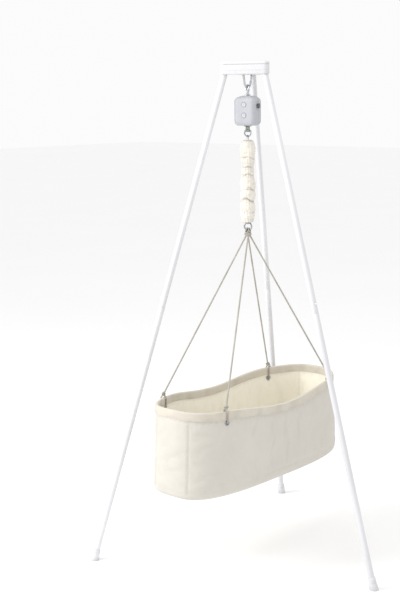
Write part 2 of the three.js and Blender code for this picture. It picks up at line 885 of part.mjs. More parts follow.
// ---------------------------------------------------------------- strap, D ring, spring, sleeve, ring
{
  const X = V(1, 0, 0);
  const Y = V(0, 1, 0);
  const Z = V(0, 0, 1);
  part(
    unit,
    "lift_strap",
    cut(
      join(
        box(-STRAP_W / 2, STRAP_W / 2, -STRAP_T / 2, STRAP_T / 2, LOOP_Z + 3.4, 1674),
        bar(V(-STRAP_W / 2, 0, LOOP_Z), V(STRAP_W / 2, 0, LOOP_Z), 4.9, 16),
      ),
      bar(V(-20, 0, LOOP_Z), V(20, 0, LOOP_Z), DRING_R + 0.35, 14),
    ),
    M.webbing,
  );
  const h = LOOP_Z - DRING_BOT_Z;
  part(
    unit,
    "d_ring",
    wire(
      [
        V(-9, 0, LOOP_Z),
        V(0, 0, LOOP_Z),
        V(9, 0, LOOP_Z),
        ...arc(V(9.6, 0, LOOP_Z - 2.4), X, Z, 2.4, 60, 0, 2),
        ...arc(V(0, 0, DRING_BOT_Z + 12), X, Z, 12, 0, -180, 12).slice(1),
        ...arc(V(-9.6, 0, LOOP_Z - 2.4), X, Z, 2.4, 180, 120, 2).slice(1),
      ].filter((p) => h > 0 && p),
      DRING_R,
      7,
      true,
    ),
    M.steel,
  );
  // tension spring: end hooks in the plane across the two rings
  const topHook = arc(
    V(0, 0, DRING_BOT_Z + DRING_R + SPRING_WIRE + 0.3 - 8),
    Y,
    Z,
    8,
    -150,
    -270 - 150,
    12,
  );
  const botHook = arc(
    V(0, 0, RING_Z + RING_R - RING_WIRE - SPRING_WIRE - 0.3 + 8),
    Y,
    Z,
    8,
    120,
    390,
    12,
  );
  const coil = [];
  const steps = SPRING_TURNS * 6;
  for (let i = 0; i <= steps; i++) {
    const f = i / steps;
    const t = 2 * Math.PI * (i / 6);
    const grow = Math.min(1, f * SPRING_TURNS * 1.4 + 0.35, (1 - f) * SPRING_TURNS * 1.4 + 0.35);
    coil.push(
      V(
        SPRING_R * grow * Math.sin(t),
        SPRING_R * grow * Math.cos(t),
        SPRING_TOP_Z - (SPRING_TOP_Z - SPRING_BOT_Z) * f,
      ),
    );
  }
  part(unit, "spring", wire([...topHook, ...coil, ...botHook], SPRING_WIRE, 4), M.steel);

  // gathered cloth sleeve over the spring
  const outer = [
    [1562, 15.5],
    [1558, 22.5],
    [1538, 28.5],
    [1512, 29],
    [1486, 24.5],
    [1470, 21.5],
    [1436, 21.5],
    [1420, 26.5],
    [1396, 30],
    [1362, 28.5],
    [1342, 23.5],
    [1316, 29.5],
    [1290, 28],
    [1271, 22.5],
    [1262, 24],
  ];
  const inner = [
    [1262, 20],
    [1276, 18.2],
    [1545, 18.2],
    [1562, 12],
  ];
  part(
    unit,
    "spring_sleeve",
    turned(
      [...outer, ...inner, outer[0]].map(([z, r]) => [r, z]),
      V(0, 0, 0),
      V(0, 0, 1),
      14,
    ),
    M.sleeve,
  );
  part(
    unit,
    "gather_ring",
    wire(arc(V(0, 0, RING_Z), X, Z, RING_R, 0, 360, 20).slice(0, 20), RING_WIRE, 8, true),
    M.steel,
  );
  // rope loops round the ring, drawn together in one knot
  const loops = [-0.42, 0.42].map((a) => {
    const w = V(Math.sin(a), 0, -Math.cos(a));
    const c = V(0, 0, RING_Z).addScaledVector(w, RING_R + 0.3);
    return wire(arc(c, Y, w, 7, 0, 360, 12).slice(0, 12), 3, 6, true);
  });
  const knot = new THREE.SphereGeometry(1, 12, 8);
  knot.rotateX(Math.PI / 2);
  knot.scale(12, 10, 9);
  knot.translate(0, 0, RING_Z - 28);
  part(unit, "cord_knot_top", join(...loops, knot), M.cord);
}

// ---------------------------------------------------------------- cradle
// quarter of an oval, points evenly spaced; returns plan point, outward normal and
// s (0 at the end on the long axis, 1 at the middle of the side)
function oval({ a, b, n }, count = ROUND) {
  const m = 400;
  const d = [];
  for (let i = 0; i <= m; i++) {
    const t = ((i / m) * Math.PI) / 2;
    d.push([a * Math.cos(t) ** (2 / n), b * Math.sin(t) ** (2 / n)]);
  }
  const len = [0];
  for (let i = 1; i <= m; i++)
    len.push(len[i - 1] + Math.hypot(d[i][0] - d[i - 1][0], d[i][1] - d[i - 1][1]));
  const q = count / 4;
  const quarter = [];
  for (let k = 0; k <= q; k++) {
    const want = (len[m] * k) / q;
    let i = 1;
    while (i < m && len[i] < want) i++;
    const f = (want - len[i - 1]) / (len[i] - len[i - 1]);
    quarter.push([
      d[i - 1][0] + (d[i][0] - d[i - 1][0]) * f,
      d[i - 1][1] + (d[i][1] - d[i - 1][1]) * f,
    ]);
  }
  const pts = [];
  for (let j = 0; j < count; j++) {
    const k = Math.floor(j / q);
    const f = j % q;
    const i = k % 2 ? q - f : f;
    const x = quarter[i][0] * (k === 1 || k === 2 ? -1 : 1);
    const y = quarter[i][1] * (k > 1 ? -1 : 1);
    const nx = (Math.sign(x) * Math.abs(x / a) ** (n - 1)) / a;
    const ny = (Math.sign(y) * Math.abs(y / b) ** (n - 1)) / b;
    const l = Math.hypot(nx, ny);
    pts.push({ x, y, nx: nx / l, ny: ny / l, s: i / q });
  }
  return pts;
}
// s of the cord corners
const cornerS = (() => {
  const pts = oval(RIM, 400).slice(0, 101);
  return pts.find((p) => p.x <= CORNER_X).s;
})();
function rimZ(s) {
  if (s < cornerS)
    return RIM_CORNER_Z + (RIM_END_RISE * (1 + Math.cos((Math.PI * s) / cornerS))) / 2;
  const u = (s - cornerS) / (1 - cornerS);
  return RIM_CORNER_Z - (RIM_SIDE_SAG * (1 - Math.cos(Math.PI * u))) / 2;
}
const mix = (f) => ({
  a: BASE.a + (RIM.a - BASE.a) * f,
  b: BASE.b + (RIM.b - BASE.b) * f,
  n: BASE.n + (RIM.n - BASE.n) * f,
});
// ring of the wall: f from 0 at the base to 1 at the rim, inset from the outer skin
const ringOf = (f, inset, z) =>
  oval(mix(f)).map((p) =>
    V(p.x - p.nx * inset, p.y - p.ny * inset, typeof z === "function" ? z(p.s) : z),
  );
const wallZ = (f) => (s) =>
  BASE_Z + BASE_ROUND + f * (rimZ(s) - HEM_DEPTH - 6 - BASE_Z - BASE_ROUND);

const rimOval = oval(RIM, 400).slice(0, 101);
const cornerPt = rimOval.find((p) => p.x <= CORNER_X);
const corners = [
  ["near_left", -1, -1],
  ["far_left", -1, 1],
  ["near_right", 1, -1],
  ["far_right", 1, 1],
].map(([name, sx, sy]) => ({
  name,
  x: sx * (cornerPt.x - (cornerPt.nx * SHELL_T) / 2),
  y: sy * (cornerPt.y - (cornerPt.ny * SHELL_T) / 2),
  n: V(sx * cornerPt.nx, sy * cornerPt.ny, 0),
  sx,
  sy,
}));
const EYELET_DROP = 43.6; // eyelet's centre under the rim
{
  const R = BASE_ROUND;
  const rings = [ringOf(0, R + 60, BASE_Z), ringOf(0, R, BASE_Z)];
  for (const a of [30, 60, 90])
    rings.push(
      ringOf(0, R * (1 - Math.sin(a * DEG)), BASE_Z + R * (1 - Math.cos(a * DEG))),
    );
  for (const f of [0.5, 1]) rings.push(ringOf(f, 0, wallZ(f)));
  rings.push(ringOf(1, 0, (s) => rimZ(s) - 11));
  rings.push(ringOf(1, SHELL_T, (s) => rimZ(s) - 11));
  rings.push(ringOf(1, SHELL_T, wallZ(1)));
  rings.push(ringOf(0.5, SHELL_T, wallZ(0.5)));
  rings.push(ringOf(0, SHELL_T, BASE_Z + R));
  rings.push(ringOf(0, SHELL_T + 4.4, BASE_Z + SHELL_T + 4.4));
  rings.push(ringOf(0, SHELL_T + 15, BASE_Z + SHELL_T));
  rings.push(ringOf(0, SHELL_T + 70, BASE_Z + SHELL_T));
  const holes = corners.map((c) => {
    const p = V(c.x, c.y, RIM_CORNER_Z - EYELET_DROP);
    return bar(
      p.clone().addScaledVector(c.n, -20),
      p.clone().addScaledVector(c.n, 20),
      7.1,
      10,
    );
  });
  part(cradle, "cradle_shell", cut(loft(rings), ...holes), M.cloth);

  // hem: folded tape over the wall's top edge, round a springy hoop
  const rim = oval(RIM);
  const across = [
    [-6.6, -HEM_DEPTH],
    [-6.6, -3],
    [-4.4, 0],
    [4.4, 0],
    [6.6, -3],
    [6.6, -HEM_DEPTH],
    [4.4, -HEM_DEPTH],
    [4.4, -2.7],
    [-4.4, -2.7],
    [-4.4, -HEM_DEPTH],
  ];
  part(
    cradle,
    "rim_hem",
    loft(
      rim.map((p) =>
        across.map(([d, h]) => {
          const off = d - SHELL_T / 2;
          return V(p.x + p.nx * off, p.y + p.ny * off, rimZ(p.s) + h);
        }),
      ),
      true,
    ),
    M.hem,
  );
  part(
    cradle,
    "rim_hoop",
    wire(
      rim.map((p) =>
        V(p.x - (p.nx * SHELL_T) / 2, p.y - (p.ny * SHELL_T) / 2, rimZ(p.s) - 6.7),
      ),
      3.5,
      5,
      true,
    ),
    M.white,
  );

  const flat = (f, inset, z) => ringOf(f, inset, z);
  part(
    cradle,
    "base_board",
    loft([
      flat(0, 24, BASE_Z + SHELL_T + 0.5),
      flat(0, 24, BASE_Z + SHELL_T + 6.5),
    ]),
    M.ply,
  );
  const mz = BASE_Z + SHELL_T + 7;
  part(
    cradle,
    "mattress",
    loft([
      flat(0, 26, mz),
      flat(0, 17, mz + 8),
      flat(0.05, 16, mz + 32),
      flat(0.08, 25, mz + 41),
      flat(0.08, 90, mz + 42),
    ]),
    M.mattress,
  );

  for (const c of corners) {
    const p = V(c.x, c.y, RIM_CORNER_Z - EYELET_DROP);
    const tail = c.name;
    part(
      cradle,
      `eyelet_${tail}`,
      turned(
        [
          [5.4, -5.6],
          [10, -5.6],
          [10, -4.3],
          [6.6, -4.3],
          [6.6, 4.3],
          [10, 4.3],
          [10, 5.6],
          [5.4, 5.6],
          [5.4, -5.6],
        ],
        p,
        p.clone().add(c.n),
        12,
      ),
      M.steel,
    );
    // cord: loop over the hem and through the eyelet, knot, then taut to the top knot
    const Z = V(0, 0, 1);
    const mid = V(c.x, c.y, 0);
    const up = mid.clone().setZ(RIM_CORNER_Z - 3);
    const dn = mid.clone().setZ(RIM_CORNER_Z - 34);
    const rr = 10.4;
    const loop = wire(
      [...arc(up, c.n, Z, rr, 0, 180, 6), ...arc(dn, c.n, Z, rr, 180, 360, 6)],
      3.1,
      6,
      true,
    );
    const knotC = mid.clone().setZ(RIM_CORNER_Z + 13);
    const k = new THREE.SphereGeometry(1, 10, 6);
    k.rotateX(Math.PI / 2);
    k.scale(8, 8, 9.5);
    k.translate(knotC.x, knotC.y, knotC.z);
    const top = V(6.6 * c.sx, 5.4 * c.sy, RING_Z - 36.6);
    part(
      cradle,
      `cord_${tail}`,
      join(loop, k, bar(knotC, top, CORD_R, 7)),
      M.cord,
    );
  }
}

export default root;
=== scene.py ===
import math

import bmesh
import bpy
import numpy as np
from mathutils import Matrix, Vector


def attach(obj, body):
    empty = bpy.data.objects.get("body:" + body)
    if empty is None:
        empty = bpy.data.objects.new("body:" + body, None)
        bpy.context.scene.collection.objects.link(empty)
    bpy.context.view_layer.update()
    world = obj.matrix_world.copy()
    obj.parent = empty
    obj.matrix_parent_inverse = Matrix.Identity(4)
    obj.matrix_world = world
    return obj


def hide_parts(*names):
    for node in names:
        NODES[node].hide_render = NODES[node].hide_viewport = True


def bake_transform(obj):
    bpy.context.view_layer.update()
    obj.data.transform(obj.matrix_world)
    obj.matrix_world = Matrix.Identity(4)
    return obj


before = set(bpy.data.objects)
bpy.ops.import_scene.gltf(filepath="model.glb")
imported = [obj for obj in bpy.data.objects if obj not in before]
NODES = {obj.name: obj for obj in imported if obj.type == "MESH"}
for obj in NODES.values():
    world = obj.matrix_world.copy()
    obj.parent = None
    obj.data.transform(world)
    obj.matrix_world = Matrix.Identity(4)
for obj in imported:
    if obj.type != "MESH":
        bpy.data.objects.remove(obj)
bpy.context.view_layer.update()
scene = bpy.context.scene
PI = math.pi

# ------------------------------------------------------------------ camera
def camera():
    p, y, roll = math.radians(9.975), math.radians(-48.375), math.radians(-0.603)
    fwd = Vector((-math.sin(y) * math.cos(p), math.cos(y) * math.cos(p), -math.sin(p)))
    right = Vector((math.cos(y), math.sin(y), 0))
    up = right.cross(fwd)
    r2 = right * math.cos(roll) + up * math.sin(roll)
    u2 = up * math.cos(roll) - right * math.sin(roll)
    cam = bpy.data.objects.new("camera", bpy.data.cameras.new("camera"))
    cam.data.lens = 68.998
    cam.data.sensor_width = 36
    cam.data.sensor_fit = "AUTO"
    cam.data.clip_start, cam.data.clip_end = 0.05, 200
    m = Matrix((r2, u2, -fwd)).transposed().to_4x4()
    m.translation = Vector((-3.3292, -2.5633, 1.7172))
    cam.matrix_world = m
    scene.collection.objects.link(cam)
    scene.camera = cam


camera()

# ------------------------------------------------------------------ mesh helpers
AXIS = np.array([-23.9, 131.1, 0.0])
X, Y, Z = np.eye(3)


def W(P, turn=0.0):
    """Millimetres about the hanging axis, turned about it, to metres in the row frame."""
    P = np.asarray(P, float).reshape(-1, 3)
    c, s = math.cos(math.radians(turn)), math.sin(math.radians(turn))
    Q = np.stack([c * P[:, 0] - s * P[:, 1], s * P[:, 0] + c * P[:, 1], P[:, 2]], 1)
    return (Q + AXIS) * 0.001


def unit(v):
    v = np.asarray(v, float)
    return v / np.maximum(np.linalg.norm(v, axis=-1, keepdims=True), 1e-12)


class Shape:
    """Skins gathered one by one; each closed one is turned right side out."""

    def __init__(self):
        self.v, self.f, self.uv, self.m, self.n = [], [], [], [], 0

    def put(self, v, F, uv=None, mat=0, closed=True):
        v, F = np.asarray(v, float).reshape(-1, 3), [np.asarray(f, int) for f in F]
        if closed:
            vol = 0.0
            for f in F:
                for k in range(1, f.shape[1] - 1):
                    vol += float((v[f[:, 0]] * np.cross(v[f[:, k]], v[f[:, k + 1]])).sum())
            if vol < 0:
                F = [f[:, ::-1] for f in F]
                uv = None if uv is None else [u[:, ::-1] for u in uv]
        for i, f in enumerate(F):
            self.f.append(f + self.n)
            self.uv.append(np.zeros(f.shape + (2,)) if uv is None else uv[i])
            self.m.append(np.full(len(f), mat))
        self.v.append(v)
        self.n += len(v)
        return self


def grid(s, P, wrap_u=True, wrap_v=False, caps=(False, False), mat=0, closed=True, uv=None):
    """Skin through rows of points. wrap_u closes each row, wrap_v joins the last row to the first."""
    P = np.asarray(P, float)
    r, c = P.shape[:2]
    ix = np.arange(r * c).reshape(r, c)
    if wrap_v:
        ix = np.vstack([ix, ix[:1]])
    if wrap_u:
        ix = np.hstack([ix, ix[:, :1]])
    if uv is None:
        Q = P[np.arange(ix.shape[0]) % r][:, np.arange(ix.shape[1]) % c]
        u = np.concatenate([np.zeros((ix.shape[0], 1)), np.cumsum(np.linalg.norm(np.diff(Q, axis=1), axis=2), 1)], 1)
        u = np.repeat(u[:1] * 0 + u.mean(0, keepdims=True), ix.shape[0], 0)
        v = np.concatenate([[0], np.cumsum(np.linalg.norm(np.diff(Q, axis=0), axis=2).mean(1))])
        uv = np.stack([u, np.repeat(v[:, None], ix.shape[1], 1)], -1) * 0.001
    quad = lambda a: np.stack([a[:-1, :-1], a[:-1, 1:], a[1:, 1:], a[1:, :-1]], 2)
    F = [quad(ix).reshape(-1, 4)]
    UV = [np.stack([uv[:-1, :-1], uv[:-1, 1:], uv[1:, 1:], uv[1:, :-1]], 2).reshape(-1, 4, 2)]
    pts = [P.reshape(-1, 3)]
    n = r * c
    for end, row in ((0, 0), (1, r - 1)):
        if caps[end]:
            centre = P[row].mean(0)
            pts.append(centre[None])
            a, b = ix[row][:-1], ix[row][1:]
            k = np.full(len(a), n)
            F.append(np.stack([k, b, a] if end == 0 else [k, a, b], 1))
            flat = np.stack([centre[None].repeat(len(a), 0), P.reshape(-1, 3)[F[-1][:, 1]], P.reshape(-1, 3)[F[-1][:, 2]]], 1)
            UV.append(flat[..., :2] * 0.001)
            n += 1
    return s.put(np.concatenate(pts), F, UV, mat, closed)


def frames(path, closed=False, up=None):
    p = np.asarray(path, float)
    t = np.roll(p, -1, 0) - np.roll(p, 1, 0) if closed else np.gradient(p, axis=0)
    t = unit(t)
    n0 = np.array(up, float) if up is not None else (Z if abs(t[0][2]) < 0.9 else X)
    n0 = unit(n0 - t[0] * (n0 @ t[0]))
    N = [n0]

    def carry(n, a, b):
        ax = np.cross(a, b)
        s = np.linalg.norm(ax)
        if s < 1e-9:
            return n
        ax, ang = ax / s, math.atan2(s, a @ b)
        return n * math.cos(ang) + np.cross(ax, n) * math.sin(ang) + ax * (ax @ n) * (1 - math.cos(ang))

    for i in range(1, len(p)):
        N.append(unit(carry(N[-1], t[i - 1], t[i])))
    N = np.array(N)
    B = np.cross(t, N)
    if closed:
        last = carry(N[-1], t[-1], t[0])
        miss = math.atan2(last @ B[0], last @ N[0])
        a = -miss * np.arange(len(p)) / len(p)
        N, B = N * np.cos(a)[:, None] + B * np.sin(a)[:, None], B * np.cos(a)[:, None] - N * np.sin(a)[:, None]
    return t, N, B


def along(path, closed=False):
    p = np.asarray(path, float)
    d = np.linalg.norm(np.diff(np.vstack([p, p[:1]]) if closed else p, axis=0), axis=1)
    return np.concatenate([[0], np.cumsum(d)])


def respace(path, step, closed=False):
    p = np.asarray(path, float)
    a = along(p, closed)
    q = np.vstack([p, p[:1]]) if closed else p
    n = max(3, int(round(a[-1] / step)))
    at = np.linspace(0, a[-1], n + 1)
    out = np.stack([np.interp(at, a, q[:, k]) for k in range(3)], 1)
    return out[:-1] if closed else out


def smooth_path(path, closed=False, per=8):
    """Catmull-Rom through the points."""
    p = np.asarray(path, float)
    n = len(p)
    get = (lambda i: p[i % n]) if closed else (lambda i: p[min(max(i, 0), n - 1)])
    out = []
    for i in range(n if closed else n - 1):
        a, b, c, d = get(i - 1), get(i), get(i + 1), get(i + 2)
        for k in range(per):
            t = k / per
            out.append(0.5 * ((2 * b) + (c - a) * t + (2 * a - 5 * b + 4 * c - d) * t * t + (3 * b - a - 3 * c + d) * t ** 3))
    if not closed:
        out.append(p[-1])
    return np.array(out)


def tube(s, path, r, sides=16, closed=False, mat=0, section=None, up=None, ends="flat"):
    """Round bar along a path. section(angle, distance) scales its radius; ends are flat, eased or round."""
    p = np.asarray(path, float)
    r = np.broadcast_to(np.asarray(r, float), (len(p),)).copy()
    if not closed and ends != "flat":
        e = 0.35 * r[0] if ends == "eased" else r[0]
        k = 3 if ends == "eased" else 6
        t0, t1 = unit(p[0] - p[1]), unit(p[-1] - p[-2])
        a = np.linspace(0, PI / 2, k + 1)[1:]
        shrink = (r[0] - e) + e * np.cos(a)
        shrink = np.maximum(shrink, 0.02 * r[0])
        head = p[0] + np.outer(e * np.sin(a), t0) - t0 * e
        tail = p[-1] + np.outer(e * np.sin(a), t1) - t1 * e
        p2 = p.copy()
        p2[0], p2[-1] = p[0] - t0 * e, p[-1] - t1 * e
        p = np.vstack([head[::-1], p2, tail])
        r = np.concatenate([shrink[::-1], r, shrink * r[-1] / r[0]])
    T, N, B = frames(p, closed, up)
    a = 2 * PI * (np.arange(sides) + 0.5) / sides
    d = along(p, closed)[: len(p)]
    k = np.ones((len(p), sides)) if section is None else section(a[None, :], d[:, None])
    R = (r[:, None] * k)[..., None]
    P = p[:, None] + R * (np.cos(a)[None, :, None] * N[:, None] + np.sin(a)[None, :, None] * B[:, None])
    L = along(p, closed)
    rows = len(p) + (1 if closed else 0)
    uv = np.stack(np.meshgrid(np.linspace(0, 2 * PI * float(r.mean()), sides + 1), L[:rows]), -1) * 0.001
    return grid(s, P, True, closed, (not closed, not closed), mat, True, uv)


def rope_section(lay):
    """Outline of three strands twisted together, one turn in each lay."""
    def f(a, d):
        psi = np.mod(a - 2 * PI * d / lay + PI / 3, 2 * PI / 3) - PI / 3
        return 0.47 * np.cos(psi) + np.sqrt(np.maximum(0.53 ** 2 - (0.47 * np.sin(psi)) ** 2, 0))
    return f


def rope(s, path, r, lay=23.0, closed=False, step=2.3, sides=15, mat=0, ends="flat"):
    q = respace(path, step, closed)
    if closed:
        lay = along(q, True)[-1] / max(1, round(along(q, True)[-1] / lay))
    return tube(s, q, r, sides, closed, mat, rope_section(lay), ends=ends)


def fillet(pts, r, seg=4, closed=False):
    """A polyline's corners rounded; r is one radius or one for each point (0 keeps it sharp)."""
    p = [np.asarray(q, float) for q in pts]
    n = len(p)
    r = [r] * n if np.isscalar(r) else list(r)
    out = []
    for i in range(n):
        if (not closed and i in (0, n - 1)) or r[i] <= 0:
            out.append(p[i])
            continue
        a, b, c = p[i - 1], p[i], p[(i + 1) % n]
        la, lc = np.linalg.norm(a - b), np.linalg.norm(c - b)
        u, w = (a - b) / la, (c - b) / lc
        half = math.acos(max(-1, min(1, float(u @ w)))) / 2
        if half > PI / 2 - 1e-3 or half < 1e-3:
            out.append(b)
            continue
        d = min(r[i] / math.tan(half), la * 0.48, lc * 0.48)
        rad = d * math.tan(half)
        centre = b + unit(u + w) * (rad / math.sin(half))
        s0, s1 = b + u * d - centre, b + w * d - centre
        ang = math.acos(max(-1, min(1, float(s0 @ s1) / (rad * rad))))
        for k in range(seg + 1):
            t = k / seg
            out.append(centre + (s0 * math.sin((1 - t) * ang) + s1 * math.sin(t * ang)) / math.sin(ang))
    return np.array(out)


def lathe(s, profile, origin, axis, sides=48, mat=0, loop=False, section=None):
    """Turned shape: (radius, height) pairs about a line; loop joins the profile's ends."""
    pr = np.asarray(profile, float)
    axis = unit(axis)
    e1 = unit(np.cross(axis, X if abs(axis[0]) < 0.9 else Y))
    e2 = np.cross(axis, e1)
    a = 2 * PI * np.arange(sides) / sides
    k = np.ones((len(pr), sides)) if section is None else section(a[None, :], pr[:, 1][:, None])
    ring = np.cos(a)[:, None] * e1 + np.sin(a)[:, None] * e2
    R = np.maximum(pr[:, 0], 1e-4)[:, None, None] * k[..., None]
    P = np.asarray(origin, float) + pr[:, 1][:, None, None] * axis + R * ring[None]
    d = np.concatenate([[0], np.cumsum(np.linalg.norm(np.diff(pr, axis=0), axis=1))])
    if loop:
        d = np.append(d, d[-1] + np.linalg.norm(pr[-1] - pr[0]))
    uv = np.stack(np.meshgrid(np.linspace(0, 2 * PI * pr[:, 0].max(), sides + 1), d), -1) * 0.001
    return grid(s, P, True, loop, (not loop, not loop), mat, True, uv)


def block(s, lo, hi, mat=0, turn=None):
    """Plain brick, for cutting or with its edges eased afterwards."""
    (x0, y0, z0), (x1, y1, z1) = lo, hi
    v = np.array([[x, y, z] for z in (z0, z1) for y in (y0, y1) for x in (x0, x1)], float)
    if turn is not None:
        v = v @ np.asarray(turn, float)
    F = [[0, 2, 3, 1], [4, 5, 7, 6], [0, 1, 5, 4], [2, 6, 7, 3], [0, 4, 6, 2], [1, 3, 7, 5]]
    return s.put(v, [F], None, mat)


def arc(c, u, w, r, a0, a1, n):
    t = np.radians(np.linspace(a0, a1, n + 1))[:, None]
    return np.asarray(c, float) + r * np.cos(t) * np.asarray(u, float) + r * np.sin(t) * np.asarray(w, float)


def obj_of(s, name, turn=0.0, weld=False):
    v = W(np.concatenate(s.v), turn)
    loops = np.concatenate([f.ravel() for f in s.f])
    totals = np.concatenate([np.full(len(f), f.shape[1]) for f in s.f])
    starts = np.concatenate([[0], np.cumsum(totals)[:-1]])
    m = bpy.data.meshes.new(name)
    m.vertices.add(len(v))
    m.vertices.foreach_set("co", v.astype(np.float32).ravel())
    m.loops.add(len(loops))
    m.loops.foreach_set("vertex_index", loops.astype(np.int32))
    m.polygons.add(len(totals))
    m.polygons.foreach_set("loop_start", starts.astype(np.int32))
    m.polygons.foreach_set("loop_total", totals.astype(np.int32))
    m.polygons.foreach_set("material_index", np.concatenate(s.m).astype(np.int32))
    m.update(calc_edges=True)
    m.uv_layers.new(name="flat").data.foreach_set("uv", np.concatenate([u.reshape(-1, 2) for u in s.uv]).astype(np.float32).ravel())
    m.validate()
    o = bpy.data.objects.new(name, m)
    scene.collection.objects.link(o)
    if weld:
        b = bmesh.new()
        b.from_mesh(m)
        bmesh.ops.remove_doubles(b, verts=b.verts, dist=2e-6)
        b.to_mesh(m)
        b.free()
    return o


def settle(o):
    """The object's mesh with its modifiers worked in."""
    dg = bpy.context.evaluated_depsgraph_get()
    new = bpy.data.meshes.new_from_object(o.evaluated_get(dg))
    old = o.data
    o.modifiers.clear()
    o.data = new
    new.name = old.name
    bpy.data.meshes.remove(old)
    return o


def carve(o, *tools, op="DIFFERENCE", solver="MANIFOLD", keep=False):
    for t in tools:
        for kind in (solver, "EXACT"):
            m = o.modifiers.new("carve", "BOOLEAN")
            m.operation, m.object, m.solver = op, t, kind
            dg = bpy.context.evaluated_depsgraph_get()
            dg.update()
            new = bpy.data.meshes.new_from_object(o.evaluated_get(dg))
            o.modifiers.clear()
            if len(new.polygons) > 4:
                break
            bpy.data.meshes.remove(new)
            new = None
        if new is None:
            raise RuntimeError(f"carving {o.name} left nothing")
        old = o.data
        o.data = new
        bpy.data.meshes.remove(old)
    if not keep:
        for t in tools:
            bpy.data.objects.remove(t)
    return o


def finish_piece(o, mats, body=None, stands_for=(), sharp=38.0, bevel=0.0):
    mats = mats if isinstance(mats, (list, tuple)) else [mats]
    if list(o.data.materials) != list(mats):  # clearing them would also forget which face has which
        o.data.materials.clear()
        for m in mats:
            o.data.materials.append(m)
    if bevel:
        b = o.modifiers.new("ease", "BEVEL")
        b.width, b.segments, b.limit_method, b.angle_limit = bevel * 0.001, 2, "ANGLE", math.radians(40)
        b.harden_normals = False
        settle(o)
        if not o.data.materials:
            for m in mats:
                o.data.materials.append(m)
    if len(o.data.polygons) < 6000:
        bm = bmesh.new()
        bm.from_mesh(o.data)
        bmesh.ops.dissolve_degenerate(bm, dist=2e-6, edges=bm.edges)
        bmesh.ops.delete(bm, geom=[e for e in bm.edges if not e.link_faces], context="EDGES")
        bmesh.ops.delete(bm, geom=[v for v in bm.verts if not v.link_faces], context="VERTS")
        bm.to_mesh(o.data)
        bm.free()
    o.data.shade_smooth()
    if sharp:
        o.data.set_sharp_from_angle(angle=math.radians(sharp))
    if stands_for:
        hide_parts(*([stands_for] if isinstance(stands_for, str) else stands_for))
    if body:
        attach(o, body)
    return o


def piece(s, name, mats, body, stands_for=(), turn=0.0, sharp=38.0, bevel=0.0, weld=False, tools=()):
    o = obj_of(s, name, turn, weld)
    if tools:
        carve(o, *[obj_of(t, "tool", turn, weld) for t in tools])
    return finish_piece(o, mats, body, stands_for, sharp, bevel)


def waves(seed, count, lo, hi, whole=True):
    """A smooth random function of angle and height, the same each time."""
    g = np.random.default_rng(seed)
    k = g.integers(lo, hi + 1, count) if whole else g.uniform(lo, hi, count)
    kz, ph = g.uniform(-1, 1, count), g.uniform(0, 2 * PI, count)
    am = g.uniform(0.5, 1, count)
    am /= np.sqrt((am ** 2).sum() / 2)

    def f(a, z):
        a, z = np.broadcast_arrays(a, z)
        out = np.zeros(a.shape)
        for i in range(count):
            out += am[i] * np.sin(k[i] * a + kz[i] * z + ph[i])
        return out
    return f


def blur(F, su, sv, wrap=True):
    """Gaussian blur of a field on a grid: su across columns (which may wrap), sv down rows."""
    def one(A, s, axis, wrap):
        if s <= 0:
            return A
        h = int(3 * s) + 1
        k = np.exp(-0.5 * (np.arange(-h, h + 1) / s) ** 2)
        k /= k.sum()
        pad = [(0, 0)] * A.ndim
        pad[axis] = (h, h)
        B = np.pad(A, pad, mode="wrap" if wrap else "edge")
        out = np.zeros_like(A)
        n = A.shape[axis]
        for i, w in enumerate(k):
            out += w * np.take(B, range(i, i + n), axis)
        return out
    return one(one(F, su, 1, wrap), sv, 0, False)


# ------------------------------------------------------------------ materials
SOCKET = {
    "color": "Base Color", "metal": "Metallic", "rough": "Roughness", "ior": "IOR", "spec": "Specular IOR Level",
    "coat": "Coat Weight", "coat_rough": "Coat Roughness", "sheen": "Sheen Weight", "sheen_rough": "Sheen Roughness",
    "sheen_tint": "Sheen Tint", "aniso": "Anisotropic", "sss": "Subsurface Weight", "sss_radius": "Subsurface Radius",
    "sss_scale": "Subsurface Scale",
}


def lin(r, g, b):
    f = lambda c: c / 12.92 if c <= 0.04045 else ((c + 0.055) / 1.055) ** 2.4
    return (f(r / 255), f(g / 255), f(b / 255), 1.0)


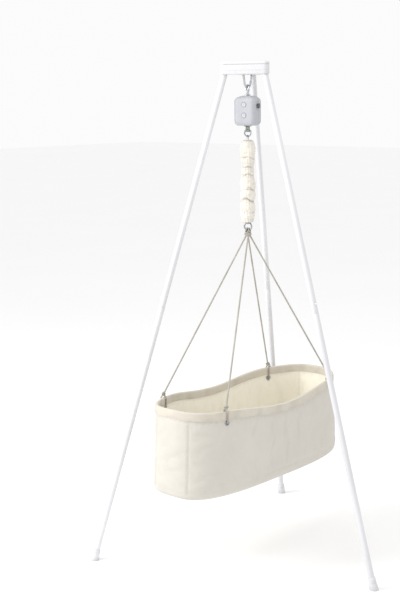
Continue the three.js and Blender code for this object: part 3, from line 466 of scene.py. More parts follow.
class Mat:
    def __init__(self, name, **values):
        self.m = bpy.data.materials.new(name)
        self.m.use_nodes = True
        self.t = self.m.node_tree
        self.b = self.t.nodes["Principled BSDF"]
        for k, v in values.items():
            self.b.inputs[SOCKET[k]].default_value = v
        self.co = self.t.nodes.new("ShaderNodeTexCoord")

    def n(self, kind, **values):
        x = self.t.nodes.new("ShaderNode" + kind)
        for k, v in values.items():
            setattr(x, k, v)
        return x

    def to(self, sock, v):
        if isinstance(v, bpy.types.NodeSocket):
            self.t.links.new(v, sock)
        else:
            sock.default_value = v

    def place(self, scale=(1, 1, 1), source="Object", turn=(0, 0, 0)):
        x = self.n("Mapping")
        self.to(x.inputs["Vector"], self.co.outputs[source])
        x.inputs["Scale"].default_value = scale
        x.inputs["Rotation"].default_value = turn
        return x.outputs["Vector"]

    def noise(self, vec, scale, detail=2.0, rough=0.5, warp=0.0):
        x = self.n("TexNoise")
        self.to(x.inputs["Vector"], vec)
        for k, v in (("Scale", scale), ("Detail", detail), ("Roughness", rough), ("Distortion", warp)):
            x.inputs[k].default_value = v
        return x.outputs["Fac"]

    def cells(self, vec, scale, feature="F1"):
        x = self.n("TexVoronoi", feature=feature)
        self.to(x.inputs["Vector"], vec)
        x.inputs["Scale"].default_value = scale
        return x.outputs["Distance"]

    def math(self, op, a, b=0.0, c=0.0):
        x = self.n("Math", operation=op)
        for sock, v in zip(x.inputs, (a, b, c)):
            self.to(sock, v)
        return x.outputs[0]

    def span(self, v, a, b, c, d):
        x = self.n("MapRange")
        self.to(x.inputs["Value"], v)
        for i, q in enumerate((a, b, c, d)):
            x.inputs[i + 1].default_value = q
        return x.outputs["Result"]

    def ramp(self, f, stops):
        x = self.n("ValToRGB")
        e = x.color_ramp.elements
        while len(e) < len(stops):
            e.new(0.5)
        for el, (p, c) in zip(e, stops):
            el.position, el.color = p, c
        self.to(x.inputs["Fac"], f)
        return x.outputs["Color"]

    def mix(self, f, a, b, how="MIX"):
        x = self.n("Mix", data_type="RGBA", blend_type=how)
        self.to(x.inputs[0], f)
        self.to(x.inputs[6], a)
        self.to(x.inputs[7], b)
        return x.outputs[2]

    def split(self, vec):
        x = self.n("SeparateXYZ")
        self.to(x.inputs[0], vec)
        return x.outputs

    def attr(self, name):
        return self.n("Attribute", attribute_name=name).outputs["Fac"]

    def bump(self, height, strength, dist, normal=None):
        x = self.n("Bump")
        x.inputs["Strength"].default_value = strength
        x.inputs["Distance"].default_value = dist
        self.to(x.inputs["Height"], height)
        if normal is not None:
            self.to(x.inputs["Normal"], normal)
        return x.outputs["Normal"]

    def use(self, **links):
        for k, v in links.items():
            self.to(self.b.inputs["Normal" if k == "normal" else SOCKET[k]], v)
        return self.m

    def weave(self, pitch, strength=0.5, source="UV", twill=False):
        """Woven thread height from the flat coordinates, thread pitch in metres."""
        o = self.split(self.co.outputs[source])
        wob = self.noise(self.place((1, 1, 1)), 260, 2, 0.5)
        k = 2 * PI / pitch
        u = self.math("MULTIPLY", o[0], k)
        v = self.math("MULTIPLY", o[1], k)
        u = self.math("ADD", u, self.math("MULTIPLY", wob, 2.2))
        if twill:
            a = self.math("SINE", self.math("ADD", u, v))
            b = self.math("SINE", self.math("MULTIPLY", u, 2.0))
            h = self.math("ADD", a, self.math("MULTIPLY", b, 0.35))
        else:
            h = self.math("MULTIPLY", self.math("SINE", u), self.math("SINE", v))
        return self.math("MULTIPLY", h, strength)


def shade(c, k):
    return tuple(x * k for x in c[:3]) + (1.0,)


def plastic(name, colour, rough, grain=2600, depth=0.00004, coat=0.0, var=0.05, strength=0.35):
    m = Mat(name, coat=coat, coat_rough=0.15, spec=0.5)
    o = m.place()
    broad, fine = m.noise(o, 9, 3, 0.6), m.noise(o, grain, 2, 0.6)
    scuff = m.noise(m.place((1, 1, 0.25)), 70, 4, 0.7)
    col = m.ramp(broad, [(0.3, shade(colour, 1 - var)), (0.7, shade(colour, 1 + var * 0.4))])
    rg = m.math("ADD", m.span(scuff, 0.35, 0.7, rough - 0.05, rough + 0.09), m.math("MULTIPLY", fine, 0.04))
    return m.use(color=col, rough=rg, normal=m.bump(fine, strength, depth, m.bump(broad, 0.05, 0.0004)))


def metal(name, colour, rough, streak=(1, 1, 14), scale=420, aniso=0.0, stain=0.08):
    m = Mat(name, metal=1.0, aniso=aniso)
    lines = m.noise(m.place(streak), scale, 3, 0.65)
    broad = m.noise(m.place(), 26, 4, 0.6, 0.3)
    col = m.mix(m.span(broad, 0.42, 0.72, 0, 1), colour, shade(colour, 1 - stain * 2.4))
    rg = m.math("ADD", m.span(lines, 0.3, 0.7, rough - 0.06, rough + 0.1), m.span(broad, 0.4, 0.8, 0, 0.12))
    return m.use(color=col, rough=rg, normal=m.bump(lines, 0.2, 0.00004))


def paint():
    """Powder coat: fine orange peel, a little grime low down and rubbed marks where the tubes plug together."""
    m = Mat("tube_paint", coat=0.25, coat_rough=0.22, spec=0.5)
    o = m.place()
    peel = m.cells(o, 900, "SMOOTH_F1")
    fine = m.noise(o, 1500, 2, 0.5)
    z = m.split(m.co.outputs["Object"])[2]
    low = m.span(z, 0.0, 0.30, 1, 0)
    joint = m.math("SUBTRACT", 1.0, m.span(m.math("ABSOLUTE", m.math("SUBTRACT", z, 0.957)), 0.0, 0.05, 0, 1))
    marks = m.span(m.noise(m.place((1, 1, 0.12)), 160, 5, 0.75), 0.58, 0.72, 0, 1)
    dirt = m.math("MULTIPLY", m.math("ADD", m.math("MULTIPLY", low, 0.5), m.math("MULTIPLY", joint, 0.9)), marks)
    base = m.ramp(m.noise(m.place((1, 1, 0.3)), 5, 3, 0.5), [(0.35, lin(213, 213, 216)), (0.65, lin(225, 225, 228))])
    col = m.mix(m.math("MULTIPLY", dirt, 0.45), base, lin(186, 185, 186))
    rg = m.math("ADD", m.span(peel, 0, 1, 0.32, 0.42), m.math("MULTIPLY", dirt, 0.25))
    return m.use(color=col, rough=rg, normal=m.bump(fine, 0.12, 0.00003, m.bump(peel, 0.25, 0.00008)))


def cloth(name, colour, dark, pitch, sheen=0.25, var=0.5, fold_shade=0.0, source="UV", slub=0.3, rough=0.93, blotch=7.0):
    """Woven cotton: weave, slubs in the yarn, soft uneven colour, and painted shade darkening the folds."""
    m = Mat(name, sheen=sheen, sheen_rough=0.45, sheen_tint=(1, 1, 1, 1), spec=0.2)
    o = m.place()
    w = m.weave(pitch, 0.5, source)
    yarn_u = m.noise(m.place((60, 4, 1) if source == "UV" else (4, 4, 60), source), 9, 3, 0.6)
    yarn_v = m.noise(m.place((4, 60, 1) if source == "UV" else (60, 60, 4), source), 9, 3, 0.6)
    broad = m.noise(o, blotch, 4, 0.6, 0.4)
    fuzz = m.noise(o, 900, 3, 0.7)
    tone = m.math("ADD", m.math("MULTIPLY", broad, 0.6), m.math("MULTIPLY", m.math("ADD", yarn_u, yarn_v), 0.2))
    col = m.ramp(tone, [(0.5 - 0.22 / max(var, 0.05) * 0.5, dark), (0.5 + 0.22, colour)])
    if fold_shade:
        # painted shade: the fold mask darkens the colour in creases and hollows where shade falls
        f = m.math("MULTIPLY", m.attr("fold_shade"), fold_shade)
        col = m.mix(m.math("MINIMUM", f, 0.9), col, shade(dark, 0.62))
    h = m.math("ADD", m.math("MULTIPLY", w, 0.9), m.math("MULTIPLY", m.math("ADD", yarn_u, yarn_v), slub))
    n = m.bump(h, 0.45, 0.00018, m.bump(fuzz, 0.2, 0.0002))
    return m.use(color=col, rough=m.span(fuzz, 0.3, 0.7, rough - 0.05, rough + 0.04), normal=n)


def rope_yarn(name, colour, dark):
    m = Mat(name, sheen=0.2, sheen_rough=0.5, sheen_tint=(1, 1, 1, 1), spec=0.15)
    o = m.place()
    s = m.split(m.co.outputs["UV"])
    lay = m.math("ADD", m.math("MULTIPLY", s[0], 5200.0), m.math("MULTIPLY", s[1], 1500.0))
    yarn = m.math("SINE", m.math("ADD", lay, m.math("MULTIPLY", m.noise(o, 300, 2, 0.5), 3.0)))
    fuzz, broad = m.noise(o, 1300, 3, 0.7), m.noise(o, 24, 3, 0.6)
    tone = m.math("ADD", m.math("MULTIPLY", broad, 0.6), m.math("MULTIPLY", fuzz, 0.4))
    col = m.ramp(tone, [(0.32, dark), (0.68, colour)])
    h = m.math("ADD", m.math("MULTIPLY", yarn, 0.5), fuzz)
    return m.use(color=col, rough=m.span(fuzz, 0.3, 0.7, 0.86, 0.97), normal=m.bump(h, 0.5, 0.0003))


def tape(name, colour, dark):
    """Woven tape: ribs down its length and a herringbone of fine diagonals."""
    m = Mat(name, sheen=0.15, sheen_rough=0.4, spec=0.3)
    s = m.split(m.co.outputs["UV"])
    rib = m.math("SINE", m.math("MULTIPLY", s[0], 2 * PI / 0.0016))
    zig = m.math("PINGPONG", m.math("MULTIPLY", s[0], 1000.0), 1.6)
    diag = m.math("SINE", m.math("ADD", m.math("MULTIPLY", s[1], 2 * PI / 0.0011), m.math("MULTIPLY", zig, 2.4)))
    fuzz = m.noise(m.place(), 1100, 3, 0.7)
    h = m.math("ADD", m.math("MULTIPLY", rib, 0.5), m.math("MULTIPLY", diag, 0.6))
    col = m.ramp(m.math("ADD", m.math("MULTIPLY", fuzz, 0.7), m.math("MULTIPLY", diag, 0.14)), [(0.25, dark), (0.62, colour)])
    return m.use(color=col, rough=m.span(fuzz, 0.3, 0.7, 0.75, 0.9), normal=m.bump(h, 0.5, 0.0003))


def rubber():
    m = Mat("foot_rubber", spec=0.35)
    o = m.place()
    fine, broad = m.noise(o, 1700, 3, 0.7), m.noise(o, 30, 4, 0.65)
    z = m.split(m.co.outputs["Object"])[2]
    dust = m.math("MULTIPLY", m.span(z, 0.0, 0.02, 1, 0), m.span(broad, 0.35, 0.65, 0.3, 1))
    col = m.mix(m.math("MULTIPLY", dust, 0.5), m.ramp(broad, [(0.35, lin(208, 208, 211)), (0.65, lin(222, 222, 225))]), lin(172, 170, 166))
    return m.use(color=col, rough=m.span(fine, 0.3, 0.7, 0.62, 0.78), normal=m.bump(fine, 0.4, 0.00007))


def laminate():
    """Circuit board: green lacquer over paler copper runs, with the glass cloth showing faintly."""
    m = Mat("board_laminate", spec=0.5)
    o = m.place()
    runs = m.cells(m.place((1, 1, 1)), 240, "DISTANCE_TO_EDGE")
    mask = m.span(runs, 0.04, 0.09, 1, 0)
    glass = m.noise(o, 2200, 1, 0.4)
    col = m.mix(mask, m.ramp(glass, [(0.3, lin(40, 84, 52)), (0.7, lin(52, 102, 66))]), lin(96, 134, 84))
    return m.use(color=col, rough=m.span(glass, 0.3, 0.7, 0.34, 0.46), normal=m.bump(mask, 0.4, 0.00006))


def plywood():
    m = Mat("board_wood", spec=0.35)
    o = m.place((1.2, 14, 14))
    rings = m.noise(o, 7, 5, 0.62, 1.4)
    fibre = m.noise(m.place((9, 260, 260)), 3, 3, 0.6)
    tone = m.math("ADD", m.math("MULTIPLY", rings, 0.75), m.math("MULTIPLY", fibre, 0.25))
    col = m.ramp(tone, [(0.34, lin(168, 128, 82)), (0.5, lin(201, 166, 118)), (0.66, lin(220, 190, 146))])
    return m.use(color=col, rough=m.span(fibre, 0.3, 0.7, 0.55, 0.72), normal=m.bump(tone, 0.3, 0.0002))


M = {
    "paint": paint(),
    "head": plastic("head_plastic", lin(214, 214, 216), 0.3, 2200, 0.00003, 0.3, 0.03, 0.2),
    "steel": metal("bright_steel", lin(206, 208, 212), 0.24),
    "plated": metal("plated_steel", lin(240, 241, 243), 0.42, (1, 1, 1), 300, 0.0, 0.05),
    "zinc": metal("zinc_steel", lin(172, 174, 178), 0.34, (1, 1, 1), 300, 0.0, 0.1),
    "rolled": metal("rolled_steel", lin(188, 190, 193), 0.4, (1, 1, 18), 500, 0.0, 0.1),
    "housing": plastic("housing_plastic", lin(184, 185, 190), 0.5, 3400, 0.00006, 0.0, 0.04, 0.45),
    "dark": plastic("dark_plastic", lin(92, 94, 98), 0.45, 2600, 0.00006, 0.0, 0.1, 0.4),
    "key": plastic("key_plastic", lin(196, 198, 203), 0.38, 3000, 0.00004, 0.1, 0.03, 0.3),
    "hoop": plastic("hoop_plastic", lin(230, 230, 228), 0.5),
    "rubber": rubber(),
    "circuit": laminate(),
    "tape": tape("strap_webbing", lin(176, 181, 174), lin(138, 144, 138)),
    "sleeve": cloth("sleeve_cotton", lin(237, 233, 225), lin(222, 215, 204), 0.0011, 0.3, 0.6, 0.7),
    "rope": rope_yarn("cord_cotton", lin(194, 190, 181), lin(160, 156, 146)),
    "knot": rope_yarn("knot_cotton", lin(192, 188, 178), lin(154, 150, 141)),
    "cloth": cloth("cradle_cotton", lin(211, 207, 198), lin(201, 196, 187), 0.0013, 0.22, 0.5, 0.16),
    # painted light: the inside face is coloured much paler than the outer cloth, lifting the inside where it lies in
    # shade
    "lining": cloth("lining_cotton", lin(245, 241, 228), lin(236, 231, 217), 0.0013, 0.22, 0.5, 0.16),
    "hem": cloth("hem_cotton", lin(214, 208, 196), lin(202, 195, 182), 0.0010, 0.2, 0.6, 0.35),
    "quilt": cloth("mattress_cotton", lin(246, 243, 236), lin(237, 233, 224), 0.0012, 0.3, 0.5, 0.3, "Object"),
    "thread": cloth("stitch_thread", lin(222, 216, 203), lin(204, 197, 183), 0.0005, 0.2, 0.5, 0.0, "Object"),
    "wood": plywood(),
}

# ------------------------------------------------------------------ dimensions shared with the frame
APEX_Z, FOOT_R = 2099.6, 609.0
LEG_AZ = {"front": -94.5, "rear": 25.5, "left": 145.5}
LEG_R, WALL_T, SWAGE_R, SWAGE_LEN = 11.0, 1.2, 9.4, 64.0
LEG_TOP_Z, LEG_JOINT_Z, LEG_END_Z, CLIP_BELOW = 1826.8, 957.0, 13.6, 33.0
HUB_Z0, HUB_Z1, LOBE_R, LOBE, HOLE = 1798.0, 1834.0, 84.0, 18.0, 34.0
PIN_Z, PIN_R = 1816.0, 5.0
HOOK_AZ, MOTOR_AZ, EYE_AZ = -20.0, -70.0, 70.0
HOOK_R, HOOK_TOP_Z = 4.0, 1825.3
HOOK_BOT_Z = HOOK_TOP_Z - 72.0
MZ0, MZ1 = 1615.0, 1723.0
EYE_R, EYE_RING = 3.0, 10.5
EYE_Z = HOOK_BOT_Z + HOOK_R + EYE_R + 0.3 - EYE_RING
LOOP_Z, DRING_BOT_Z, DRING_R = 1596.0, 1576.0, 2.5
SPRING_WIRE, SPRING_R, SPRING_TOP_Z, SPRING_BOT_Z = 1.5, 14.0, 1556.0, 1276.0
RING_Z, RING_R, RING_WIRE = 1244.0, 14.0, 3.0
RIM, BASE = (438.0, 186.0, 2.75), (450.0, 176.0, 3.2)
BASE_Z, BASE_ROUND, RIM_CORNER_Z, RIM_END_RISE, RIM_SIDE_SAG = 311.0, 22.0, 627.0, 7.0, 26.0
CORNER_X, SHELL_T, HEM_DEPTH, CORD_R, EYELET_DROP = 315.0, 7.0, 30.0, 3.4, 43.6


# ------------------------------------------------------------------ stand
def leg_at(az, z):
    r = FOOT_R * (APEX_Z - z) / APEX_Z
    return np.array([r * math.cos(math.radians(az)), r * math.sin(math.radians(az)), z])


def hub_ring(k, z, per=20):
    pts = []
    for az in LEG_AZ.values():
        for t in np.radians(np.linspace(az - 60, az + 60, per + 1)):
            pts.append([LOBE_R * math.cos(math.radians(az)) + (LOBE - k) * math.cos(t),
                        LOBE_R * math.sin(math.radians(az)) + (LOBE - k) * math.sin(t), z])
    # the straight sides are divided too, so that light runs evenly over them
    out = []
    for i, p in enumerate(pts):
        out.append(p)
        if i % (per + 1) == per:
            q = pts[(i + 1) % len(pts)]
            for t in (0.2, 0.4, 0.6, 0.8):
                out.append([p[j] + (q[j] - p[j]) * t for j in range(3)])
    return np.array(out)


def rod(a, b, r, sides=40, r2=None):
    s = Shape()
    a, b = np.asarray(a, float), np.asarray(b, float)
    L = float(np.linalg.norm(b - a))
    return lathe(s, [(r, 0), (r if r2 is None else r2, L)], a, b - a, sides)


def stand():
    rows = [(6.5, HUB_Z0), (4.2, HUB_Z0 + 0.15), (2.4, HUB_Z0 + 0.8), (1.1, HUB_Z0 + 1.9), (0.3, HUB_Z0 + 3.4),
            (0.0, HUB_Z0 + 5.0), (0.0, HUB_Z0 + 12.0), (0.9, HUB_Z0 + 13.0), (0.9, HUB_Z0 + 14.4), (0.0, HUB_Z0 + 15.4),
            (0.0, HUB_Z1 - 1.4), (0.3, HUB_Z1 - 0.5), (1.0, HUB_Z1)]
    pin = unit([math.cos(math.radians(HOOK_AZ + 90)), math.sin(math.radians(HOOK_AZ + 90)), 0])
    pz = np.array([0, 0, PIN_Z])
    tools = [
        lathe(Shape(), [(HOLE + 3.2, -8), (HOLE + 3.2, -0.001), (HOLE + 1.2, 0.9), (HOLE, 2.8), (HOLE, 33.2), (HOLE + 0.8, 35.2), (HOLE + 1.6, 36.001), (HOLE + 1.6, 44)], [0, 0, HUB_Z0], Z, 72),
        rod(pz - pin * 44.6, pz + pin * 80, PIN_R + 0.3),
    ]
    for az in LEG_AZ.values():
        tools.append(rod(leg_at(az, HUB_Z0 - 30), leg_at(az, LEG_TOP_Z + 1), LEG_R + 0.5, 48))
        tools.append(rod(leg_at(az, HUB_Z0 - 2), leg_at(az, HUB_Z0 + 1.4), LEG_R + 2.4, 48, LEG_R + 0.3))
    piece(grid(Shape(), [hub_ring(k, z) for k, z in rows], caps=(True, True)), "head_body", M["head"], "stand",
          "stand_head", tools=tools, sharp=32)
    cap = [(1.6, HUB_Z1 + 0.4), (0.2, HUB_Z1 + 0.45), (-0.4, HUB_Z1 + 0.9), (-0.6, HUB_Z1 + 1.6), (-0.6, HUB_Z1 + 5.2),
           (-0.3, HUB_Z1 + 6.6), (0.6, HUB_Z1 + 8.3), (2.4, HUB_Z1 + 9.8), (5.0, HUB_Z1 + 10.9), (8.5, HUB_Z1 + 11.6),
           (13.0, HUB_Z1 + 12.0)]
    s = grid(Shape(), [hub_ring(k, z) for k, z in cap], caps=(True, True))
    # a shallow dished panel follows the lid's outline
    dish = grid(Shape(), [hub_ring(k, z) for k, z in [(7.6, HUB_Z1 + 13), (8.0, HUB_Z1 + 11.3), (9.4, HUB_Z1 + 10.9), (11.0, HUB_Z1 + 11.3), (11.4, HUB_Z1 + 13)]], caps=(False, False), wrap_v=True)
    piece(s, "head_lid", M["head"], "stand", "head_cap", tools=[dish], sharp=32)
    s = Shape()
    lathe(s, fillet([(0, 0), (PIN_R, 0), (PIN_R, 100), (0, 100)], [0, 0.9, 0.9, 0], 3), pz - pin * 44, pin, 40)
    piece(s, "hanger_bolt", M["zinc"], "stand", "hanger_pin")

    hyp = math.hypot(APEX_Z, FOOT_R)
    for leg, az in LEG_AZ.items():
        c, sn = math.cos(math.radians(az)), math.sin(math.radians(az))
        top, butt, end = leg_at(az, LEG_TOP_Z), leg_at(az, LEG_JOINT_Z), leg_at(az, LEG_END_Z)
        out = np.array([c * APEX_Z / hyp, sn * APEX_Z / hyp, FOOT_R / hyp])
        down = unit(end - top)
        seat = butt - down * CLIP_BELOW
        hole = lambda r: rod(seat + out * 5, seat + out * 16, r, 36)
        L1, L2 = np.linalg.norm(butt - top), np.linalg.norm(end - butt)
        ring = lambda r0, r1, h0, h1: fillet([(r0, h0), (r1, h0), (r1, h1), (r0, h1)], 0.35, 2, True)
        up = ring(LEG_R - WALL_T, LEG_R, 0, L1 - 0.3)
        # long flanks are divided, so that the tubes bend light evenly and bake well
        piece(lathe(Shape(), split_rows(up, 90), top, butt - top, 48, loop=True), f"leg_upper_{leg}", M["paint"], "stand",
              f"leg_upper_tube_{leg}", tools=[hole(4.3)], sharp=40)
        lower = [(SWAGE_R - WALL_T, -SWAGE_LEN), (SWAGE_R - 0.7, -SWAGE_LEN), (SWAGE_R, -SWAGE_LEN + 1.6), (SWAGE_R, 0.1),
                 (LEG_R - 0.45, 0.1), (LEG_R, 0.7), (LEG_R, L2 - 0.4), (LEG_R - 0.4, L2), (LEG_R - WALL_T, L2),
                 (LEG_R - WALL_T, 6), (SWAGE_R - WALL_T, 2)]
        piece(lathe(Shape(), split_rows(np.array(lower), 90), butt, end - butt, 48, loop=True), f"leg_lower_{leg}", M["paint"], "stand",
              f"leg_lower_tube_{leg}", tools=[hole(4.3)], sharp=40)
        s = Shape()
        lathe(s, fillet([(0, 6.0), (3.9, 6.0), (3.9, 12.4), (2.5, 14.2), (0, 14.2)], [0, 0.3, 1.2, 0.8, 0], 4), seat, out, 36)
        basis = np.stack([down, np.cross(down, out), out])
        block(s, (-26, -2.6, 5.7), (8, 2.6, 6.7), 0, basis)
        s.v[-1] = s.v[-1] + seat
        piece(s, f"snap_button_{leg}", M["plated"], f"snap_{leg}", f"leg_snap_button_{leg}", sharp=40)
        foot_top = end - down * 30
        prof = fillet([(0, 0), (12.4, 0), (13.6, 1.5), (14.2, 12), (13.3, 13), (13.3, 14.2), (14.4, 15.2), (14.7, 19), (13.7, 20),
                       (13.7, 21.2), (14.9, 22.2), (15.4, 27), (16.2, 34), (16.4, 60), (0, 60)],
                      [0, 0.8, 0.8, 0.4, 0.3, 0.3, 0.4, 0.4, 0.3, 0.3, 0.4, 2, 2, 0, 0], 3)
        o = obj_of(lathe(Shape(), prof, foot_top, leg_at(az, -20) - foot_top, 56), f"foot_boot_{leg}")
        carve(o, obj_of(rod(foot_top - down * 5, end + down * 0.5, LEG_R + 0.5, 48), "t"),
              obj_of(block(Shape(), (-900, -900, -100), (900, 900, 0)), "t"))
        finish_piece(o, M["rubber"], "stand", f"foot_{leg}", 36)


def split_rows(profile, most):
    """Long runs of a profile divided into steps no longer than most."""
    p = np.asarray(profile, float)
    out = []
    for i in range(len(p)):
        a, b = p[i], p[(i + 1) % len(p)]
        n = max(1, int(math.ceil(np.linalg.norm(b - a) / most)))
        out += [a + (b - a) * k / n for k in range(n)]
    return np.array(out)


# ------------------------------------------------------------------ hook, gate and swivel eye
def hardware():
    zt, zb = HOOK_TOP_Z - 19, HOOK_BOT_Z + 12
    hinge = np.array([13.4, 0, HOOK_BOT_Z + 18.6])
    path = np.vstack([
        [[18.75, 0, HOOK_TOP_Z - 22.4]], arc([0, 0, zt], X, Z, 19, 0, 180, 40),
        arc([0, 0, zb], X, Z, 12, 186, 352, 36), [[13.1, 0, HOOK_BOT_Z + 15]], [[13.9, 0, HOOK_BOT_Z + 22]],
    ])
    body = respace(smooth_path(respace(path, 3.0), per=3), 1.5)
    slot = block(Shape(), (hinge[0] - 9, -1.7, hinge[2] - 4.4), (hinge[0] + 9, 1.7, hinge[2] + 12))
    bore = rod(hinge - Y * 9, hinge + Y * 9, 1.4, 20)
    piece(tube(Shape(), body, HOOK_R, 24, up=Y, ends="eased"), "hook_body", M["steel"], "hook", "snap_hook", HOOK_AZ, tools=[slot, bore])
    tip = np.array([18.1, 0, HOOK_TOP_Z - 23.4])
    d = unit(tip - hinge)
    start = hinge + d * 7.2
    s = tube(Shape(), np.linspace(start, tip, 9), 3.2, 24, up=Y, ends="eased")
    o = obj_of(s, "hook_gate", HOOK_AZ)
    side = np.cross(d, Y)
    basis = np.stack([side, Y, d])
    t = block(Shape(), (-2.6, -1.3, -3.0), (2.6, 1.3, 8.5), 0, basis)
    t.v[-1] = t.v[-1] + hinge
    t2 = obj_of(t, "tongue", HOOK_AZ)
    carve(o, t2, op="UNION")
    carve(o, obj_of(rod(hinge - Y * 9, hinge + Y * 9, 1.4, 20), "t", HOOK_AZ))
    finish_piece(o, M["steel"], "gate", "snap_hook_gate", 36)
    s = lathe(Shape(), fillet([(0, -3.7), (1.7, -3.7), (1.7, -3.0), (1.1, -2.8), (1.1, 2.8), (1.7, 3.0), (1.7, 3.7), (0, 3.7)], [0, 0.4, 0, 0, 0, 0, 0.4, 0], 3), hinge, Y, 24)
    piece(s, "gate_rivet", M["zinc"], "hook", "gate_pin", HOOK_AZ)

    a = math.degrees(math.asin(5.5 / EYE_RING))
    eye = np.vstack([[[-5.5, 0, MZ1 + 3]], [[-5.5, 0, MZ1 + 9]], arc([0, 0, EYE_Z], X, Z, EYE_RING, -90 - a, -450 + a, 44)[1:-1],
                     [[5.5, 0, MZ1 + 9]], [[5.5, 0, MZ1 + 3]]])
    eye = respace(smooth_path(respace(eye, 2.6), per=3), 1.3)
    o = obj_of(tube(Shape(), eye, EYE_R, 24, up=Y), "swivel_ring", EYE_AZ)
    prof = fillet([(0, -24), (5, -24), (5, 0.6), (10.4, 0.6), (11, 1.4), (11, 3.6), (9.4, 5.2), (0, 5.2)], [0, 0.6, 0.3, 0.5, 0.5, 1.0, 1.2, 0], 4)
    carve(o, obj_of(lathe(Shape(), prof, [0, 0, MZ1], Z, 56), "t", EYE_AZ), op="UNION")
    finish_piece(o, M["steel"], "swivel", "swivel_eye", 34)


# ------------------------------------------------------------------ motor unit
def plan(hx, hy, r, z, per=10):
    pts = []
    for sx, sy, a0 in ((1, 1, 0), (-1, 1, 90), (-1, -1, 180), (1, -1, 270)):
        for i in range(per + 1):
            t = math.radians(a0 + 90 * i / per)
            pts.append([sx * (hx - r) + r * math.cos(t), sy * (hy - r) + r * math.sin(t), z])
    out = []
    for i, p in enumerate(pts):  # the flat faces are divided as well
        out.append(p)
        if i % (per + 1) == per:
            q = pts[(i + 1) % len(pts)]
            for t in (1 / 6, 2 / 6, 3 / 6, 4 / 6, 5 / 6):
                out.append([p[j] + (q[j] - p[j]) * t for j in range(3)])
    return out


MOTOR_ROWS = np.array([
    [0, 31, 29, 15], [2.2, 36, 34, 17], [8, 40.8, 38.8, 19], [18, 43, 41, 20], [40, 43, 41, 20], [64, 43, 41, 20], [86, 43, 41, 20],
    [95, 40.6, 38.6, 19], [102, 33.5, 31.5, 16], [106.6, 23, 21, 12], [108, 15.5, 14.5, 9]], float)


def motor_skin(k, name):
    rows = smooth_path(np.vstack([[[-0.4, 26, 24, 12.5]], MOTOR_ROWS, [[108.2, 8, 7.5, 5]]]), per=5)[5:-5]
    rows[:, 1] = np.minimum(rows[:, 1], 43)
    rows[:, 2] = np.minimum(rows[:, 2], 41)
    rows[:, 0] = np.clip(rows[:, 0], 0, 108)
    top = rows[:, 0] > 54
    lift = np.interp(rows[:, 1], [15, 31, 43], [1.0, 0.95, 0.0])
    rings = []
    for (h, hx, hy, r), t, w in zip(rows, top, lift):
        rings.append(plan(hx - k, hy - k, max(r - k, 1.5), MZ0 + h + (-k if t else k) * w))
    return obj_of(grid(Shape(), rings, caps=(True, True)), name, MOTOR_AZ)


SCREWS = [(30, 1699), (-30, 1699), (30, 1634), (-30, 1634)]
BUTTON_Z = [1690.0, 1652.0]
KNOB_Y, KNOB_Z = -16.0, 1686.0


def tool(s):
    return obj_of(s, "tool", MOTOR_AZ)


